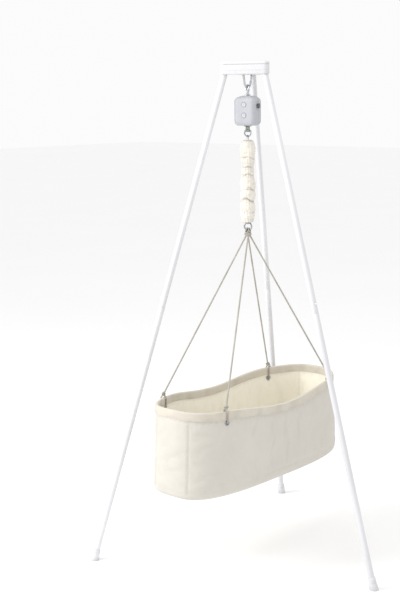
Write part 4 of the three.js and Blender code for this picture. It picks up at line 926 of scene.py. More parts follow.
def motor():
    def shell(front):
        o = motor_skin(0, "motor_shell_front" if front else "motor_shell_rear")
        carve(o, motor_skin(2.6, "t"))
        half = (-80, -80, 1500), (80, -0.2, 1800)
        if not front:
            half = (-80, 0.2, 1500), (80, 80, 1800)
        carve(o, tool(block(Shape(), *half)), op="INTERSECT")
        # eased parting line: a shallow step round the outside
        lip = tool(block(Shape(), (-80, -0.9, 1500), (80, 0.9, 1800)))
        carve(lip, motor_skin(0.9, "t"))
        carve(o, lip)
        return o

    f = shell(True)
    for x, z in SCREWS:
        post = tool(rod([x, -40.2, z], [x, -0.2, z], 3.6, 24))
        carve(post, motor_skin(0.6, "t"), op="INTERSECT")
        carve(f, post, op="UNION")
    carve(f, *[tool(rod([x, -14, z], [x, 2, z], 1.7, 20)) for x, z in SCREWS])
    for z in BUTTON_Z:
        carve(f, tool(rod([0, -50, z], [0, -30, z], 7.5, 48)))
        # dished surround
        dish = fillet([(0, 0), (11.6, 0), (11.0, 0.55), (8.4, 1.5), (0, 1.5)], [0, 0, 0.5, 0.3, 0], 3)
        carve(f, tool(lathe(Shape(), dish, [0, -41.05, z], Y, 64)))
    carve(f, tool(rod([30, KNOB_Y, KNOB_Z], [60, KNOB_Y, KNOB_Z], 3.4, 32)))
    carve(f, tool(lathe(Shape(), [(0, 0), (11.4, 0), (10.6, 0.9), (0, 0.9)], [43.05, KNOB_Y, KNOB_Z], -X, 64)))
    carve(f, tool(rod([0, 0, 1700], [0, 0, 1740], 5.4, 40)), tool(block(Shape(), (-11.2, -5.2, 1600), (11.2, 5.2, 1625))))
    finish_piece(f, M["housing"], "motor_unit", "motor_front_shell", 32)

    r = shell(False)
    for x, z in SCREWS:
        boss = tool(rod([x, 0.2, z], [x, 40.6, z], 4.9, 32))
        carve(boss, motor_skin(0.5, "t"), op="INTERSECT")
        carve(r, boss, op="UNION")
    carve(r, *[tool(rod([x, -2, z], [x, 12, z], 1.7, 20)) for x, z in SCREWS])
    carve(r, *[tool(rod([x, 8.4, z], [x, 50, z], 3.5, 32)) for x, z in SCREWS])
    carve(r, tool(rod([0, 0, 1700], [0, 0, 1740], 5.4, 40)), tool(block(Shape(), (-11.2, -5.2, 1600), (11.2, 5.2, 1625))),
          tool(rod([-17, 17, 1600], [-17, 17, 1630], 6.3, 40)))
    finish_piece(r, M["housing"], "motor_unit", "motor_rear_shell", 32)

    for i, (x, z) in enumerate(SCREWS):
        prof = fillet([(0, 0), (1.4, 1.0), (1.4, 20.8), (3, 20.8), (3, 22.2), (2.0, 23.4), (0, 23.4)], [0, 0, 0, 0.2, 0.7, 0.8, 0], 3)
        s = lathe(Shape(), prof, [x, -12, z], Y, 32)
        cross = [block(Shape(), (x - 1.5, 9.9, z - 0.32), (x + 1.5, 13, z + 0.32)), block(Shape(), (x - 0.32, 9.9, z - 1.5), (x + 0.32, 13, z + 1.5))]
        piece(s, f"housing_screw_{i + 1}", M["zinc"], "motor_unit", f"shell_screw_{i + 1}", MOTOR_AZ, tools=cross)

    for i, z in enumerate(BUTTON_Z):
        prof = fillet([(0, 0.5), (3.0, 0.35), (4.9, 0.0), (6.3, 0.25), (7.1, 1.2), (7.1, 5.4), (8.6, 5.4), (8.6, 7.0), (2.4, 7.0), (2.4, 13.4), (0, 13.4)],
                      [0, 1.5, 0.8, 0.8, 0.5, 0, 0.2, 0.2, 0, 0.3, 0], 4)
        s = lathe(Shape(), prof, [0, -43, z], Y, 56)
        # a raised ring on one key and a bar on the other tell them apart by touch
        if i:
            mark = lathe(Shape(), [(1.5, -0.05), (2.3, -0.05), (2.3, 0.9), (1.5, 0.9)], [0, -43, z], Y, 40, loop=True)
        else:
            mark = block(Shape(), (-0.45, -43.05, z - 2.3), (0.45, -42.1, z + 2.3))
        o = obj_of(s, "timer_key" if i else "power_key", MOTOR_AZ)
        carve(o, tool(mark), op="UNION")
        finish_piece(o, M["key"], "timer_key" if i else "power_key", "timer_button" if i else "power_button", 30)

    # fluted knob with a pointer groove
    a = 2 * PI * np.arange(168) / 168
    flute = 8.62 + 0.30 * np.cos(28 * a)
    rows = [(43.8, 0.93), (44.1, 0.985), (44.7, 1.0), (50.2, 1.0), (50.9, 0.985), (51.4, 0.94), (51.6, 0.87), (51.45, 0.8), (51.35, 0.4)]
    P = [np.stack([np.full(168, x), KNOB_Y + (8.62 + (flute - 8.62) * min(1, max(0, (k - 0.86) / 0.1))) * k * np.cos(a), KNOB_Z + (8.62 + (flute - 8.62) * min(1, max(0, (k - 0.86) / 0.1))) * k * np.sin(a)], 1) for x, k in rows]
    o = obj_of(grid(Shape(), P, caps=(True, True)), "knob", MOTOR_AZ)
    carve(o, tool(rod([30.6, KNOB_Y, KNOB_Z], [45, KNOB_Y, KNOB_Z], 3, 24)), op="UNION")
    carve(o, tool(block(Shape(), (50.6, KNOB_Y - 0.6, KNOB_Z + 1.5), (53, KNOB_Y + 0.6, KNOB_Z + 12))))
    finish_piece(o, M["dark"], "knob", "speed_knob", 34)

    # inlet socket: collar and bore
    s = Shape()
    lathe(s, fillet([(3.6, -0.2), (6.0, -0.2), (6.0, 3.6), (7.0, 3.6), (7.0, 15.0), (0.0, 15.0), (0.0, 12.0), (3.6, 12.0)], [0.5, 0.4, 0, 0, 0.4, 0, 0, 0], 3, True), [-17, 17, MZ0], Z, 48, loop=True)
    piece(s, "inlet_socket", M["dark"], "motor_unit", "power_inlet", MOTOR_AZ)


# ------------------------------------------------------------------ strap, rings, spring and sleeve
def hanging():
    # strap folded round the ring's bar: one ribbon, sewn to itself above it
    half = np.vstack([
        [[0.62, 1674.0]], [[0.62, 1640.0]], [[0.62, 1620.0]], [[0.62, 1608.0]], [[0.62, 1604.4]], [[0.72, 1603.0]],
        [[1.25, 1601.4]], [[2.5, 1599.6]], [[3.5, 1598.0]], [[3.95, 1596.0]], [[3.4, 1593.8]], [[1.9, 1592.4]], [[0.0, 1591.9]]])
    line = np.vstack([half, (half * [-1, 1])[::-1][1:]])
    line = smooth_path(np.c_[np.zeros(len(line)), line], per=4)
    line = line[np.r_[True, np.linalg.norm(np.diff(line, axis=0), axis=1) > 1e-6]]
    T = unit(np.gradient(line, axis=0))
    N = np.cross(T, X)
    sec = [(-8, -0.25), (-8, 0.25), (-7.6, 0.47), (-6, 0.5), (-4, 0.5), (-2, 0.5), (0, 0.5), (2, 0.5), (4, 0.5), (6, 0.5), (7.6, 0.47),
           (8, 0.25), (8, -0.25), (7.6, -0.47), (6, -0.5), (3, -0.5), (0, -0.5), (-3, -0.5), (-6, -0.5), (-7.6, -0.47)]
    P = np.stack([[line[i] + x * X + n * N[i] for x, n in sec] for i in range(len(line))])
    s = grid(Shape(), P, caps=(True, True))
    uu = np.array([x for x, n in sec] + [-8.0])
    vv = along(line)
    s.uv[0] = quads_uv(np.stack(np.meshgrid(uu * 0.001, vv * 0.001), -1))
    piece(s, "strap_webbing", M["tape"], "strap", "lift_strap", MOTOR_AZ, sharp=50)
    # box stitches that close the strap's loop
    s = Shape()
    for side in (1, -1):
        for z in (1604.6, 1610.0):
            for x in np.arange(-6.0, 6.01, 2.0):
                y = side * 1.1
                stitch(s, [x - 0.75, y, z], [x + 0.75, y, z], [0, side, 0], 0.32)
        for x in (-6.6, 6.6):
            for z in np.arange(1605.6, 1610.0, 1.9):
                y = side * 1.1
                stitch(s, [x, y, z - 0.7], [x, y, z + 0.7], [0, side, 0], 0.32)
    piece(s, "strap_stitching", M["thread"], "strap", turn=MOTOR_AZ)

    ring = np.vstack([
        np.linspace([-9, 0, LOOP_Z], [9, 0, LOOP_Z], 13), arc([9.6, 0, LOOP_Z - 2.4], X, Z, 2.4, 75, 0, 6),
        arc([0, 0, DRING_BOT_Z + 12], X, Z, 12, 0, -180, 36)[1:], arc([-9.6, 0, LOOP_Z - 2.4], X, Z, 2.4, 180, 105, 6)[1:]])
    piece(tube(Shape(), ring, DRING_R, 20, True, up=Y), "strap_ring", M["zinc"], "strap", "d_ring", MOTOR_AZ)

    top = arc([0, 0, DRING_BOT_Z + DRING_R + SPRING_WIRE + 0.3 - 8], Y, Z, 8, -150, -420, 30)
    bot = arc([0, 0, RING_Z + RING_R - RING_WIRE - SPRING_WIRE - 0.3 + 8], Y, Z, 8, 120, 390, 30)
    turns, per = 56, 16
    f = np.arange(turns * per + 1) / (turns * per)
    t = 2 * PI * f * turns
    grow = np.minimum(1, np.minimum(f, 1 - f) * turns * 0.9 + 0.35)
    coil = np.stack([SPRING_R * grow * np.sin(t), SPRING_R * grow * np.cos(t), SPRING_TOP_Z - (SPRING_TOP_Z - SPRING_BOT_Z) * f], 1)
    o = obj_of(tube(Shape(), np.vstack([top, coil, bot]), SPRING_WIRE, 8, ends="eased"), "spring_coil", MOTOR_AZ)
    finish_piece(o, M["zinc"], None, "spring", 50)
    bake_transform(o)

    sleeve()

    s = tube(Shape(), arc([0, 0, RING_Z], X, Z, RING_R, 0, 360, 56)[:-1], RING_WIRE, 20, True, up=Y)
    piece(s, "cord_ring", M["zinc"], "cradle", "gather_ring", MOTOR_AZ)


def quads_uv(uv):
    return np.stack([uv[:-1, :-1], uv[:-1, 1:], uv[1:, 1:], uv[1:, :-1]], 2).reshape(-1, 4, 2)


def stitch(s, a, b, out, r, lift=0.12):
    """One stitch: a short arched thread, its ends going into the cloth."""
    a, b, out = (np.asarray(q, float) for q in (a, b, out))
    t = np.linspace(0, 1, 5)[:, None]
    p = a + (b - a) * t + out * (np.sin(PI * t) * (r + lift) - r * 0.75)
    return tube(s, p, [r * 0.5, r, r, r, r * 0.5], 6)


SLEEVE = [(1562, 13.0), (1559.5, 18.5), (1556, 22.0), (1546, 26.2), (1534, 28.4), (1520, 28.6), (1509, 26.6), (1499, 25.0), (1490, 25.6), (1480, 24.2), (1471, 22.0),
          (1463, 21.4), (1452, 22.6), (1444, 23.4), (1435, 22.2), (1427, 23.4), (1415, 27.2), (1402, 28.8), (1391, 27.4), (1383, 25.4), (1374, 27.0), (1362, 28.4), (1351, 26.0),
          (1343, 22.6), (1335, 24.0), (1324, 27.8), (1314, 28.6), (1305, 26.4), (1298, 25.2), (1290, 27.2), (1281, 26.6), (1273, 22.8), (1267, 22.2), (1262, 22.0)]


def sleeve():
    """Gathered cotton tube over the spring: soft rolls one above another, with pleats running over them."""
    rows, cols = (168, 176)
    zs, rs = np.array(SLEEVE, float).T
    z = np.linspace(1562, 1262, rows)
    a = 2 * PI * np.arange(cols) / cols
    A, Zg = np.meshgrid(a, z)
    # the rolls climb and dip round the tube, so no two sides match
    slip = waves(17, 7, 1, 3)(A, Zg * 0.03) * 3.6 + waves(18, 6, 2, 5)(A, Zg * 0.08) * 1.4
    ends = np.clip(np.minimum(1562 - Zg, Zg - 1262) / 16.0, 0, 1)
    zq = np.clip(Zg + slip * ends, 1262, 1562)
    base = np.interp(zq, zs[::-1], rs[::-1])
    base = blur(base, 1.5, 2.0)
    tight = np.interp(base, [21.5, 28.0], [1.0, 0.3])
    rim = np.exp(-((1562 - Zg) / 7.0)) + np.exp(-((Zg - 1262) / 8.0))
    pleat = np.zeros_like(A)
    for i, (n, w) in enumerate([(9, 1.0), (14, 0.6), (23, 0.3)]):
        ph = waves(21 + i, 6, 1, 3)(A, Zg * (0.035 + 0.01 * i)) * 0.9
        c = np.cos(n * A + ph * 1.3)
        pleat += w * (np.sqrt(np.abs(c) + 0.03) - 0.75)
    pleat /= np.abs(pleat).max()
    slow = waves(31, 8, 1, 4)(A, Zg * 0.07)
    cross = waves(41, 14, 1, 5)(A, Zg * 0.55) * 0.55 + waves(42, 14, 2, 8)(A, Zg * 0.95) * 0.3
    R = base + pleat * (1.7 * tight + 0.55 + 0.9 * rim) + slow * 0.6 + cross * (1 - 0.35 * tight) * ends
    # sharp creases where one roll folds down over the next
    g = np.random.default_rng(9)
    dips = [zz for zz, r0, r1, r2 in zip(zs[1:-1], rs[:-2], rs[1:-1], rs[2:]) if r1 < r0 and r1 < r2]
    for k in range(3):
        for zc in dips:
            az, wd, dp = g.uniform(0, 2 * PI), g.uniform(0.7, 1.6), g.uniform(0.8, 2.1)
            da = np.abs(np.mod(A - az + PI, 2 * PI) - PI)
            line = zc + g.uniform(-4, 4) + g.uniform(-2.5, 2.5) * np.sin(A * 2 + az) - g.uniform(-1.5, 2.5) * da
            R -= dp * np.exp(-((zq - line) / 2.5) ** 2) * np.exp(-(da / wd) ** 2) * ends
            R += dp * 0.45 * np.exp(-((zq - line - 5.6) / 3.4) ** 2) * np.exp(-(da / wd) ** 2) * ends
    floor = np.interp(z, [1262, 1268, 1550, 1562], [16.7, 17.0, 17.0, 11.0])[:, None]
    R = floor + np.logaddexp(0, (R - floor) * 1.6) / 1.6
    R = np.minimum(R, 31.0)
    P = np.stack([R * np.cos(A), R * np.sin(A), Zg], -1)
    # the top is drawn in round the spring's hook, the bottom turns up inside
    pull = 1 + 0.07 * np.sin(15 * a + 1.0) + 0.04 * np.sin(23 * a)
    tuck = [np.stack([rr * pull ** kk * np.cos(a), rr * pull ** kk * np.sin(a), np.full(cols, zz)], 1)
            for rr, zz, kk in ((11.2, 1563.0, 1.0), (9.7, 1562.6, 0.7), (9.2, 1561.0, 0.4), (9.3, 1558.6, 0.2))]
    tail = [np.stack([R[-1] * kk * np.cos(a), R[-1] * kk * np.sin(a), np.full(cols, zz)], 1)
            for zz, kk in ((1260.8, 0.985), (1260.4, 0.93), (1261.4, 0.87), (1268, 0.86), (1276, 0.87))]
    P = np.concatenate([np.array(tuck)[::-1], P, np.array(tail)])[::-1]
    # the cloth has two faces, 0.7 mm apart, that meet at both ends
    n = unit(np.cross(np.roll(P, -1, 1) - np.roll(P, 1, 1), np.gradient(P, axis=0)))
    s = grid(Shape(), np.concatenate([P, (P - n * 0.7)[::-1]]), True, True)
    o = obj_of(s, "spring_sleeve_cloth", MOTOR_AZ)
    # painted shade: the hollows between the rolls and both turned-in ends get a mask that darkens the cloth's colour
    low = blur(R, 5, 4) - R
    fold_shade = np.clip(low / 2.0, 0, 1) ** 1.2
    fold_shade = np.concatenate([np.full((4, cols), 0.5), fold_shade, np.full((5, cols), 0.8)])[::-1]
    fold_shade = np.concatenate([fold_shade, np.full_like(fold_shade, 0.8)])
    at = o.data.attributes.new("fold_shade", "FLOAT", "POINT")
    at.data.foreach_set("value", fold_shade.ravel().astype(np.float32))
    finish_piece(o, M["sleeve"], None, "spring_sleeve", 0)
    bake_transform(o)


# ------------------------------------------------------------------ cradle outline
def oval(p, count=360):
    a, b, n = p
    m = 4000
    t = np.linspace(0, PI / 2, m + 1)
    d = np.stack([a * np.cos(t).clip(0) ** (2 / n), b * np.sin(t) ** (2 / n)], 1)
    L = np.concatenate([[0], np.cumsum(np.linalg.norm(np.diff(d, axis=0), axis=1))])
    q = count // 4
    at = np.linspace(0, L[-1], q + 1)
    quarter = np.stack([np.interp(at, L, d[:, 0]), np.interp(at, L, d[:, 1])], 1)
    j = np.arange(count)
    k, f = j // q, j % q
    i = np.where(k % 2 == 1, q - f, f)
    x = quarter[i, 0] * np.where((k == 1) | (k == 2), -1, 1)
    y = quarter[i, 1] * np.where(k > 1, -1, 1)
    nx, ny = np.sign(x) * np.abs(x / a) ** (n - 1) / a, np.sign(y) * np.abs(y / b) ** (n - 1) / b
    l = np.hypot(nx, ny)
    return dict(x=x, y=y, nx=nx / l, ny=ny / l, s=i / q, n=count)


_c = oval(RIM, 400)
CORNER_I = int(np.argmax(_c["x"][:101] <= CORNER_X))
CORNER_S = float(_c["s"][CORNER_I])
CORNER = (float(_c["x"][CORNER_I]), float(_c["y"][CORNER_I]), float(_c["nx"][CORNER_I]), float(_c["ny"][CORNER_I]))


def rim_z(s):
    s = np.asarray(s, float)
    u = (s - CORNER_S) / (1 - CORNER_S)
    return np.where(s < CORNER_S, RIM_CORNER_Z + RIM_END_RISE * (1 + np.cos(PI * s / CORNER_S)) / 2,
                    RIM_CORNER_Z - RIM_SIDE_SAG * (1 - np.cos(PI * u)) / 2)


def mixed(f):
    return tuple(BASE[i] + (RIM[i] - BASE[i]) * f for i in range(3))


def wall_z(f, s):
    return BASE_Z + BASE_ROUND + f * (rim_z(s) - HEM_DEPTH - 6 - BASE_Z - BASE_ROUND)


def ring_of(f, inset, z, count):
    o = oval(mixed(f), count)
    zz = z(o["s"]) if callable(z) else np.full(count, float(z))
    return np.stack([o["x"] - o["nx"] * inset, o["y"] - o["ny"] * inset, zz], 1), np.stack([o["nx"], o["ny"], 0 * o["nx"]], 1)


CORNERS = []
for _name, _sx, _sy in (("near_left", -1, -1), ("far_left", -1, 1), ("near_right", 1, -1), ("far_right", 1, 1)):
    CORNERS.append(dict(name=_name, sx=_sx, sy=_sy, x=_sx * (CORNER[0] - CORNER[2] * SHELL_T / 2),
                        y=_sy * (CORNER[1] - CORNER[3] * SHELL_T / 2), n=np.array([_sx * CORNER[2], _sy * CORNER[3], 0.0])))


def press(P, pins, wrap=True, pressure=4.0, grow=0.03, frames_n=20, bend=0.4, stiff=12.0):
    """Lets a sheet of points fill with air like cloth, held where it is pinned. Metres in, metres out."""
    r, c = P.shape[:2]
    s = grid(Shape(), P, wrap, closed=False)
    F = np.concatenate([f for f in s.f])
    m = bpy.data.meshes.new("air")
    m.from_pydata(P.reshape(-1, 3).tolist(), [], F.tolist())
    m.update()
    o = bpy.data.objects.new("air", m)
    scene.collection.objects.link(o)
    g = o.vertex_groups.new(name="pin")
    flat = pins.ravel()
    for w in np.unique(np.round(flat, 2)):
        if w > 0:
            g.add(np.nonzero(np.abs(flat - w) < 0.005)[0].tolist(), float(w), "REPLACE")
    out = run_cloth(o, frames_n, pressure, grow, bend, stiff)
    bpy.data.objects.remove(o)
    bpy.data.meshes.remove(m)
    return out.reshape(r, c, 3)


def run_cloth(o, frames_n, pressure, grow, bend, stiff):
    mod = o.modifiers.new("cloth", "CLOTH")
    st = mod.settings
    st.quality = 5
    st.mass = 0.15
    st.tension_stiffness = st.compression_stiffness = stiff
    st.shear_stiffness = stiff * 0.5
    st.bending_stiffness = bend
    st.air_damping = 2.0
    st.use_pressure = True
    st.uniform_pressure_force = pressure
    st.vertex_group_mass = "pin"
    st.pin_stiffness = 1.0
    st.shrink_min = -grow
    st.effector_weights.gravity = 0.0
    mod.collision_settings.use_collision = False
    mod.collision_settings.use_self_collision = False
    mod.point_cache.frame_start, mod.point_cache.frame_end = 1, frames_n
    for k in range(1, frames_n + 1):
        scene.frame_set(k)
    dg = bpy.context.evaluated_depsgraph_get()
    e = o.evaluated_get(dg)
    m = e.to_mesh()
    co = np.empty(len(m.vertices) * 3, np.float32)
    m.vertices.foreach_get("co", co)
    e.to_mesh_clear()
    scene.frame_set(1)
    return co.reshape(-1, 3).astype(float)


def seam_lines(o):
    """Distance along the wall, in millimetres, to the nearest of the four upright seams."""
    d = np.full(o["n"], 1e9)
    pts = np.stack([o["x"], o["y"]], 1)
    step = np.linalg.norm(np.roll(pts, -1, 0) - pts, axis=1)
    pos = np.concatenate([[0], np.cumsum(step)[:-1]])
    total = float(step.sum())
    for sx in (-1, 1):
        for sy in (-1, 1):
            a = (o["x"] * sx > 0) & (o["y"] * sy > 0)
            i = np.where(a, np.abs(np.abs(o["y"]) - 75.0) + np.where(np.abs(o["x"]) > 300, 0, 1e6), 1e9).argmin()
            dd = np.abs(pos - pos[i])
            d = np.minimum(d, np.minimum(dd, total - dd))
    return d, pos, total


def cradle():
    count = 360
    o0 = oval(mixed(0.6), count)
    seam, pos, total = seam_lines(o0)
    ang = 2 * PI * pos / total
    R = BASE_ROUND
    rows, norm, kind, ff = [], [], [], []

    def add(f, inset, z, n, k, fv, narrow=1.0):
        p, nn = ring_of(f, inset, z, count)
        p = p * [narrow, narrow, 1]
        rows.append(p)
        norm.append(nn * n[0] + np.array([0, 0, 1.0]) * n[1])
        kind.append(k)
        ff.append(fv)

    # under side, rounding, outer wall, over the top, lining, inside floor
    for k in (0.2, 0.42, 0.64, 0.84):
        add(0, R + 58, BASE_Z, (0, -1), 0, 0, k)
    for ins in (58, 40, 24, 10, 0):
        add(0, R + ins, BASE_Z, (0, -1), 0, 0)
    for a in np.radians(np.linspace(0, 90, 10))[1:]:
        add(0, R * (1 - math.sin(a)), BASE_Z + R * (1 - math.cos(a)), (math.sin(a), -math.cos(a)), 1, 0)
    for f in np.linspace(0, 1, 47)[1:]:
        add(f, 0, lambda s, f=f: wall_z(f, s), (1, 0), 2, f)
    for f2 in (0.34, 0.67, 1.0):
        add(1, 0, lambda s, q=f2: wall_z(1, s) + q * (rim_z(s) - 11 - wall_z(1, s)), (1, 0), 3, 1)
    add(1, 1.2, lambda s: rim_z(s) - 9.8, (0.7, 0.7), 3, 1)
    add(1, SHELL_T - 1.2, lambda s: rim_z(s) - 9.8, (-0.7, 0.7), 3, 1)
    for f2 in (1.0, 0.67, 0.34):
        add(1, SHELL_T, lambda s, q=f2: wall_z(1, s) + q * (rim_z(s) - 11 - wall_z(1, s)), (-1, 0), 3, 1)
    for f in np.linspace(1, 0, 37):
        add(f, SHELL_T, lambda s, f=f: wall_z(f, s), (-1, 0), 4, f)
    for a in np.radians(np.linspace(0, 90, 7))[1:]:
        rr = 15.0
        add(0, SHELL_T + rr * (1 - math.cos(a)), BASE_Z + SHELL_T + rr * (1 - math.sin(a)), (-math.cos(a), math.sin(a)), 5, 0)
    for ins in (30, 58):
        add(0, SHELL_T + 15 + ins, BASE_Z + SHELL_T, (0, 1), 5, 0)
    for k in (0.8, 0.55, 0.3):
        add(0, SHELL_T + 15 + 58, BASE_Z + SHELL_T, (0, 1), 5, 0, k)
    P, N = np.array(rows), unit(np.array(norm))
    kind = np.array(kind)
    ff = np.array(ff)

    D = np.zeros(P.shape[:2])
    A = ang[None, :].repeat(len(P), 0)
    Zh = P[..., 2]
    # slow sway of the padding, the same on both faces
    sway = waves(5, 9, 2, 9)(A, Zh * 0.012) * 0.9
    fine = waves(6, 14, 8, 30)(A, Zh * 0.05) * 0.28
    hold = np.interp(np.concatenate([ff]), [0, 0.10, 0.86, 1.0], [0.35, 1, 1, 0.15])[:, None]
    hold = np.where(kind[:, None] <= 0, 0.0, hold)
    hold = np.where(np.isin(kind, (3, 5))[:, None], 0.0, hold)
    hold = np.where(kind[:, None] == 1, 0.35 * np.linspace(0, 1, (kind == 1).sum()).repeat(1)[np.clip(np.cumsum(kind == 1) - 1, 0, None)][:, None], hold)
    D += (sway * 0.8 + fine) * hold
    for face, sign, seed in ((2, 1.0, 61), (4, -1.0, 71)):
        band = np.nonzero(kind == face)[0]
        Pb, Nb = P[band], N[band]
        pins = np.zeros(Pb.shape[:2])
        pins[[0, -1]] = 1
        pins[:, seam < 2.6] = 1
        start = Pb + Nb * (waves(seed, 20, 6, 60)(A[band], Zh[band] * 0.12) * 0.35)[..., None]
        got = press((start + AXIS) * 0.001, pins, True, 4.0, 0.035, 20, 0.25, 10.0) * 1000 - AXIS
        d = ((got - Pb) * Nb).sum(-1)
        low = blur(d, 5, 3)
        high = d - blur(d, 2.2, 1.2)
        mid = blur(d, 2.2, 1.2) - low
        d = 3.8 * np.tanh(low / 6.0) + 1.15 * np.tanh(mid / 1.5) + 0.3 * np.tanh(high / 0.6)
        D[band] = D[band] * 0.5 + d
    # upright seams and the seam over the rounding are drawn in, with puckers beside them
    body = np.isin(kind, (2, 4))[:, None]
    pucker = np.sin(Zh * 2 * PI / 13.0 + 2 * np.sin(Zh * 0.07)) * 0.45
    D -= np.where(body, 2.3 * np.exp(-(seam[None] / 2.4) ** 2), 0)
    D += np.where(body, pucker * np.exp(-((seam[None] - 7) / 6.0) ** 2), 0)
    low_seam = Zh - (BASE_Z + R + 14)
    lap = (kind == 2)[:, None]
    D -= np.where(lap, 1.9 * np.exp(-(low_seam / 2.2) ** 2), 0)
    D += np.where(lap, 0.4 * np.sin(pos[None] * 2 * PI / 17.0) * np.exp(-((np.abs(low_seam) - 6) / 5.0) ** 2), 0)
    # drawn in towards the hem, with small gathers under it
    gather = np.sin(pos[None] * 2 * PI / 21.0 + 1.5 * np.sin(pos[None] * 0.013)) * 0.55
    D += np.where(body, gather * np.exp(-((1 - ff[:, None]) / 0.09)), 0)
    # the cords pull at the corners
    for c in CORNERS:
        dd = np.hypot(P[..., 0] - c["x"], P[..., 1] - c["y"])
        dz = (RIM_CORNER_Z - EYELET_DROP) - Zh
        spread = 14 + np.clip(dz, 0, None) * 0.55
        ray = np.cos(np.clip(dd / spread, 0, 3) * PI * 1.5)
        D += np.where(body, -0.9 * ray * np.exp(-(dd / (spread * 1.6)) ** 2) * np.exp(-np.abs(dz) / 60.0) * (dz > -10), 0)
        flatten = np.exp(-((dd ** 2 + (dz) ** 2) / 14.0 ** 2))
        D *= 1 - 0.96 * np.where(np.isin(kind, (2, 3, 4))[:, None], flatten, 0)
    D = np.clip(D, -3.2, 5.4)
    P = P + N * D[..., None]
    # lining ends on the frame's own floor line, so the board under the mattress stays clear
    s = Shape()
    L = np.concatenate([[0], np.cumsum(np.linalg.norm(np.diff(P, axis=0), axis=2).mean(1))])
    uv = np.stack(np.meshgrid(np.append(pos, total), L), -1) * 0.001
    grid(s, P, caps=(True, True), uv=uv)
    inner = int(np.nonzero(kind == 3)[0][4])
    o = obj_of(s, "cradle_wall")
    # painted shade: the hollows of the padding and the seams get a mask that darkens the cloth's colour
    depth = blur(D, 4, 2) - D
    fold_shade = np.clip(depth / 1.6, 0, 1) ** 1.3 * body
    side = np.zeros(P.shape[:2])
    side[inner + 1:] = 1
    at = o.data.attributes.new("inside", "FLOAT", "POINT")
    at.data.foreach_set("value", np.concatenate([side.ravel(), [0, 1]]).astype(np.float32))
    at = o.data.attributes.new("fold_shade", "FLOAT", "POINT")
    vals = np.concatenate([fold_shade.ravel(), [0, 0]])
    at.data.foreach_set("value", vals.astype(np.float32))
    holes = []
    for c in CORNERS:
        p = np.array([c["x"], c["y"], RIM_CORNER_Z - EYELET_DROP])
        holes.append(obj_of(rod(p - c["n"] * 20, p + c["n"] * 20, 6.9, 36), "t"))
    carve(o, *holes)
    finish_piece(o, [M["cloth"], M["lining"]], "cradle", "cradle_shell", 0)
    # faces past the rim take the lining; carving forgets indices, but keeps what is stored at points
    m = o.data
    inside = np.empty(len(m.vertices), np.float32)
    loops, starts = np.empty(len(m.loops), np.int32), np.empty(len(m.polygons), np.int32)
    m.attributes["inside"].data.foreach_get("value", inside)
    m.loops.foreach_get("vertex_index", loops)
    m.polygons.foreach_get("loop_start", starts)
    mean = np.add.reduceat(inside[loops], starts) / np.diff(np.append(starts, len(loops)))
    m.polygons.foreach_set("material_index", (mean > 0.5).astype(np.int32))
    m.attributes.remove(m.attributes["inside"])

    stitches(P[kind == 2], ff[kind == 2], seam, pos, total)
    hem(count)


def stitches(P, f, seam, pos, total):
    """Thread down both sides of each upright seam, lying on the wall as it came out."""
    s = Shape()
    n = len(pos)

    def at(x, q):
        c = np.interp(x % total, np.append(pos, total), np.arange(n + 1))
        r = np.interp(q, f, np.arange(len(f)))
        c0, r0 = int(c), min(int(r), len(f) - 2)
        u, v = c - c0, r - r0
        g = lambda i, j: P[i, j % n]
        p = (g(r0, c0) * (1 - u) + g(r0, c0 + 1) * u) * (1 - v) + (g(r0 + 1, c0) * (1 - u) + g(r0 + 1, c0 + 1) * u) * v
        out = unit(np.cross(g(r0, c0 + 1) - g(r0, c0), g(r0 + 1, c0) - g(r0, c0)))
        return p, out

    marks = [i for i in range(n) if seam[i] < 1e-6]
    for i in marks:
        for off in (-4.6, 4.6):
            for q in np.arange(0.05, 0.955, 0.0245):
                (a, na), (b, nb) = at(pos[i] + off, q), at(pos[i] + off, q + 0.0155)
                stitch(s, a, b, na, 0.42)
    piece(s, "seam_stitching", M["thread"], "cradle")


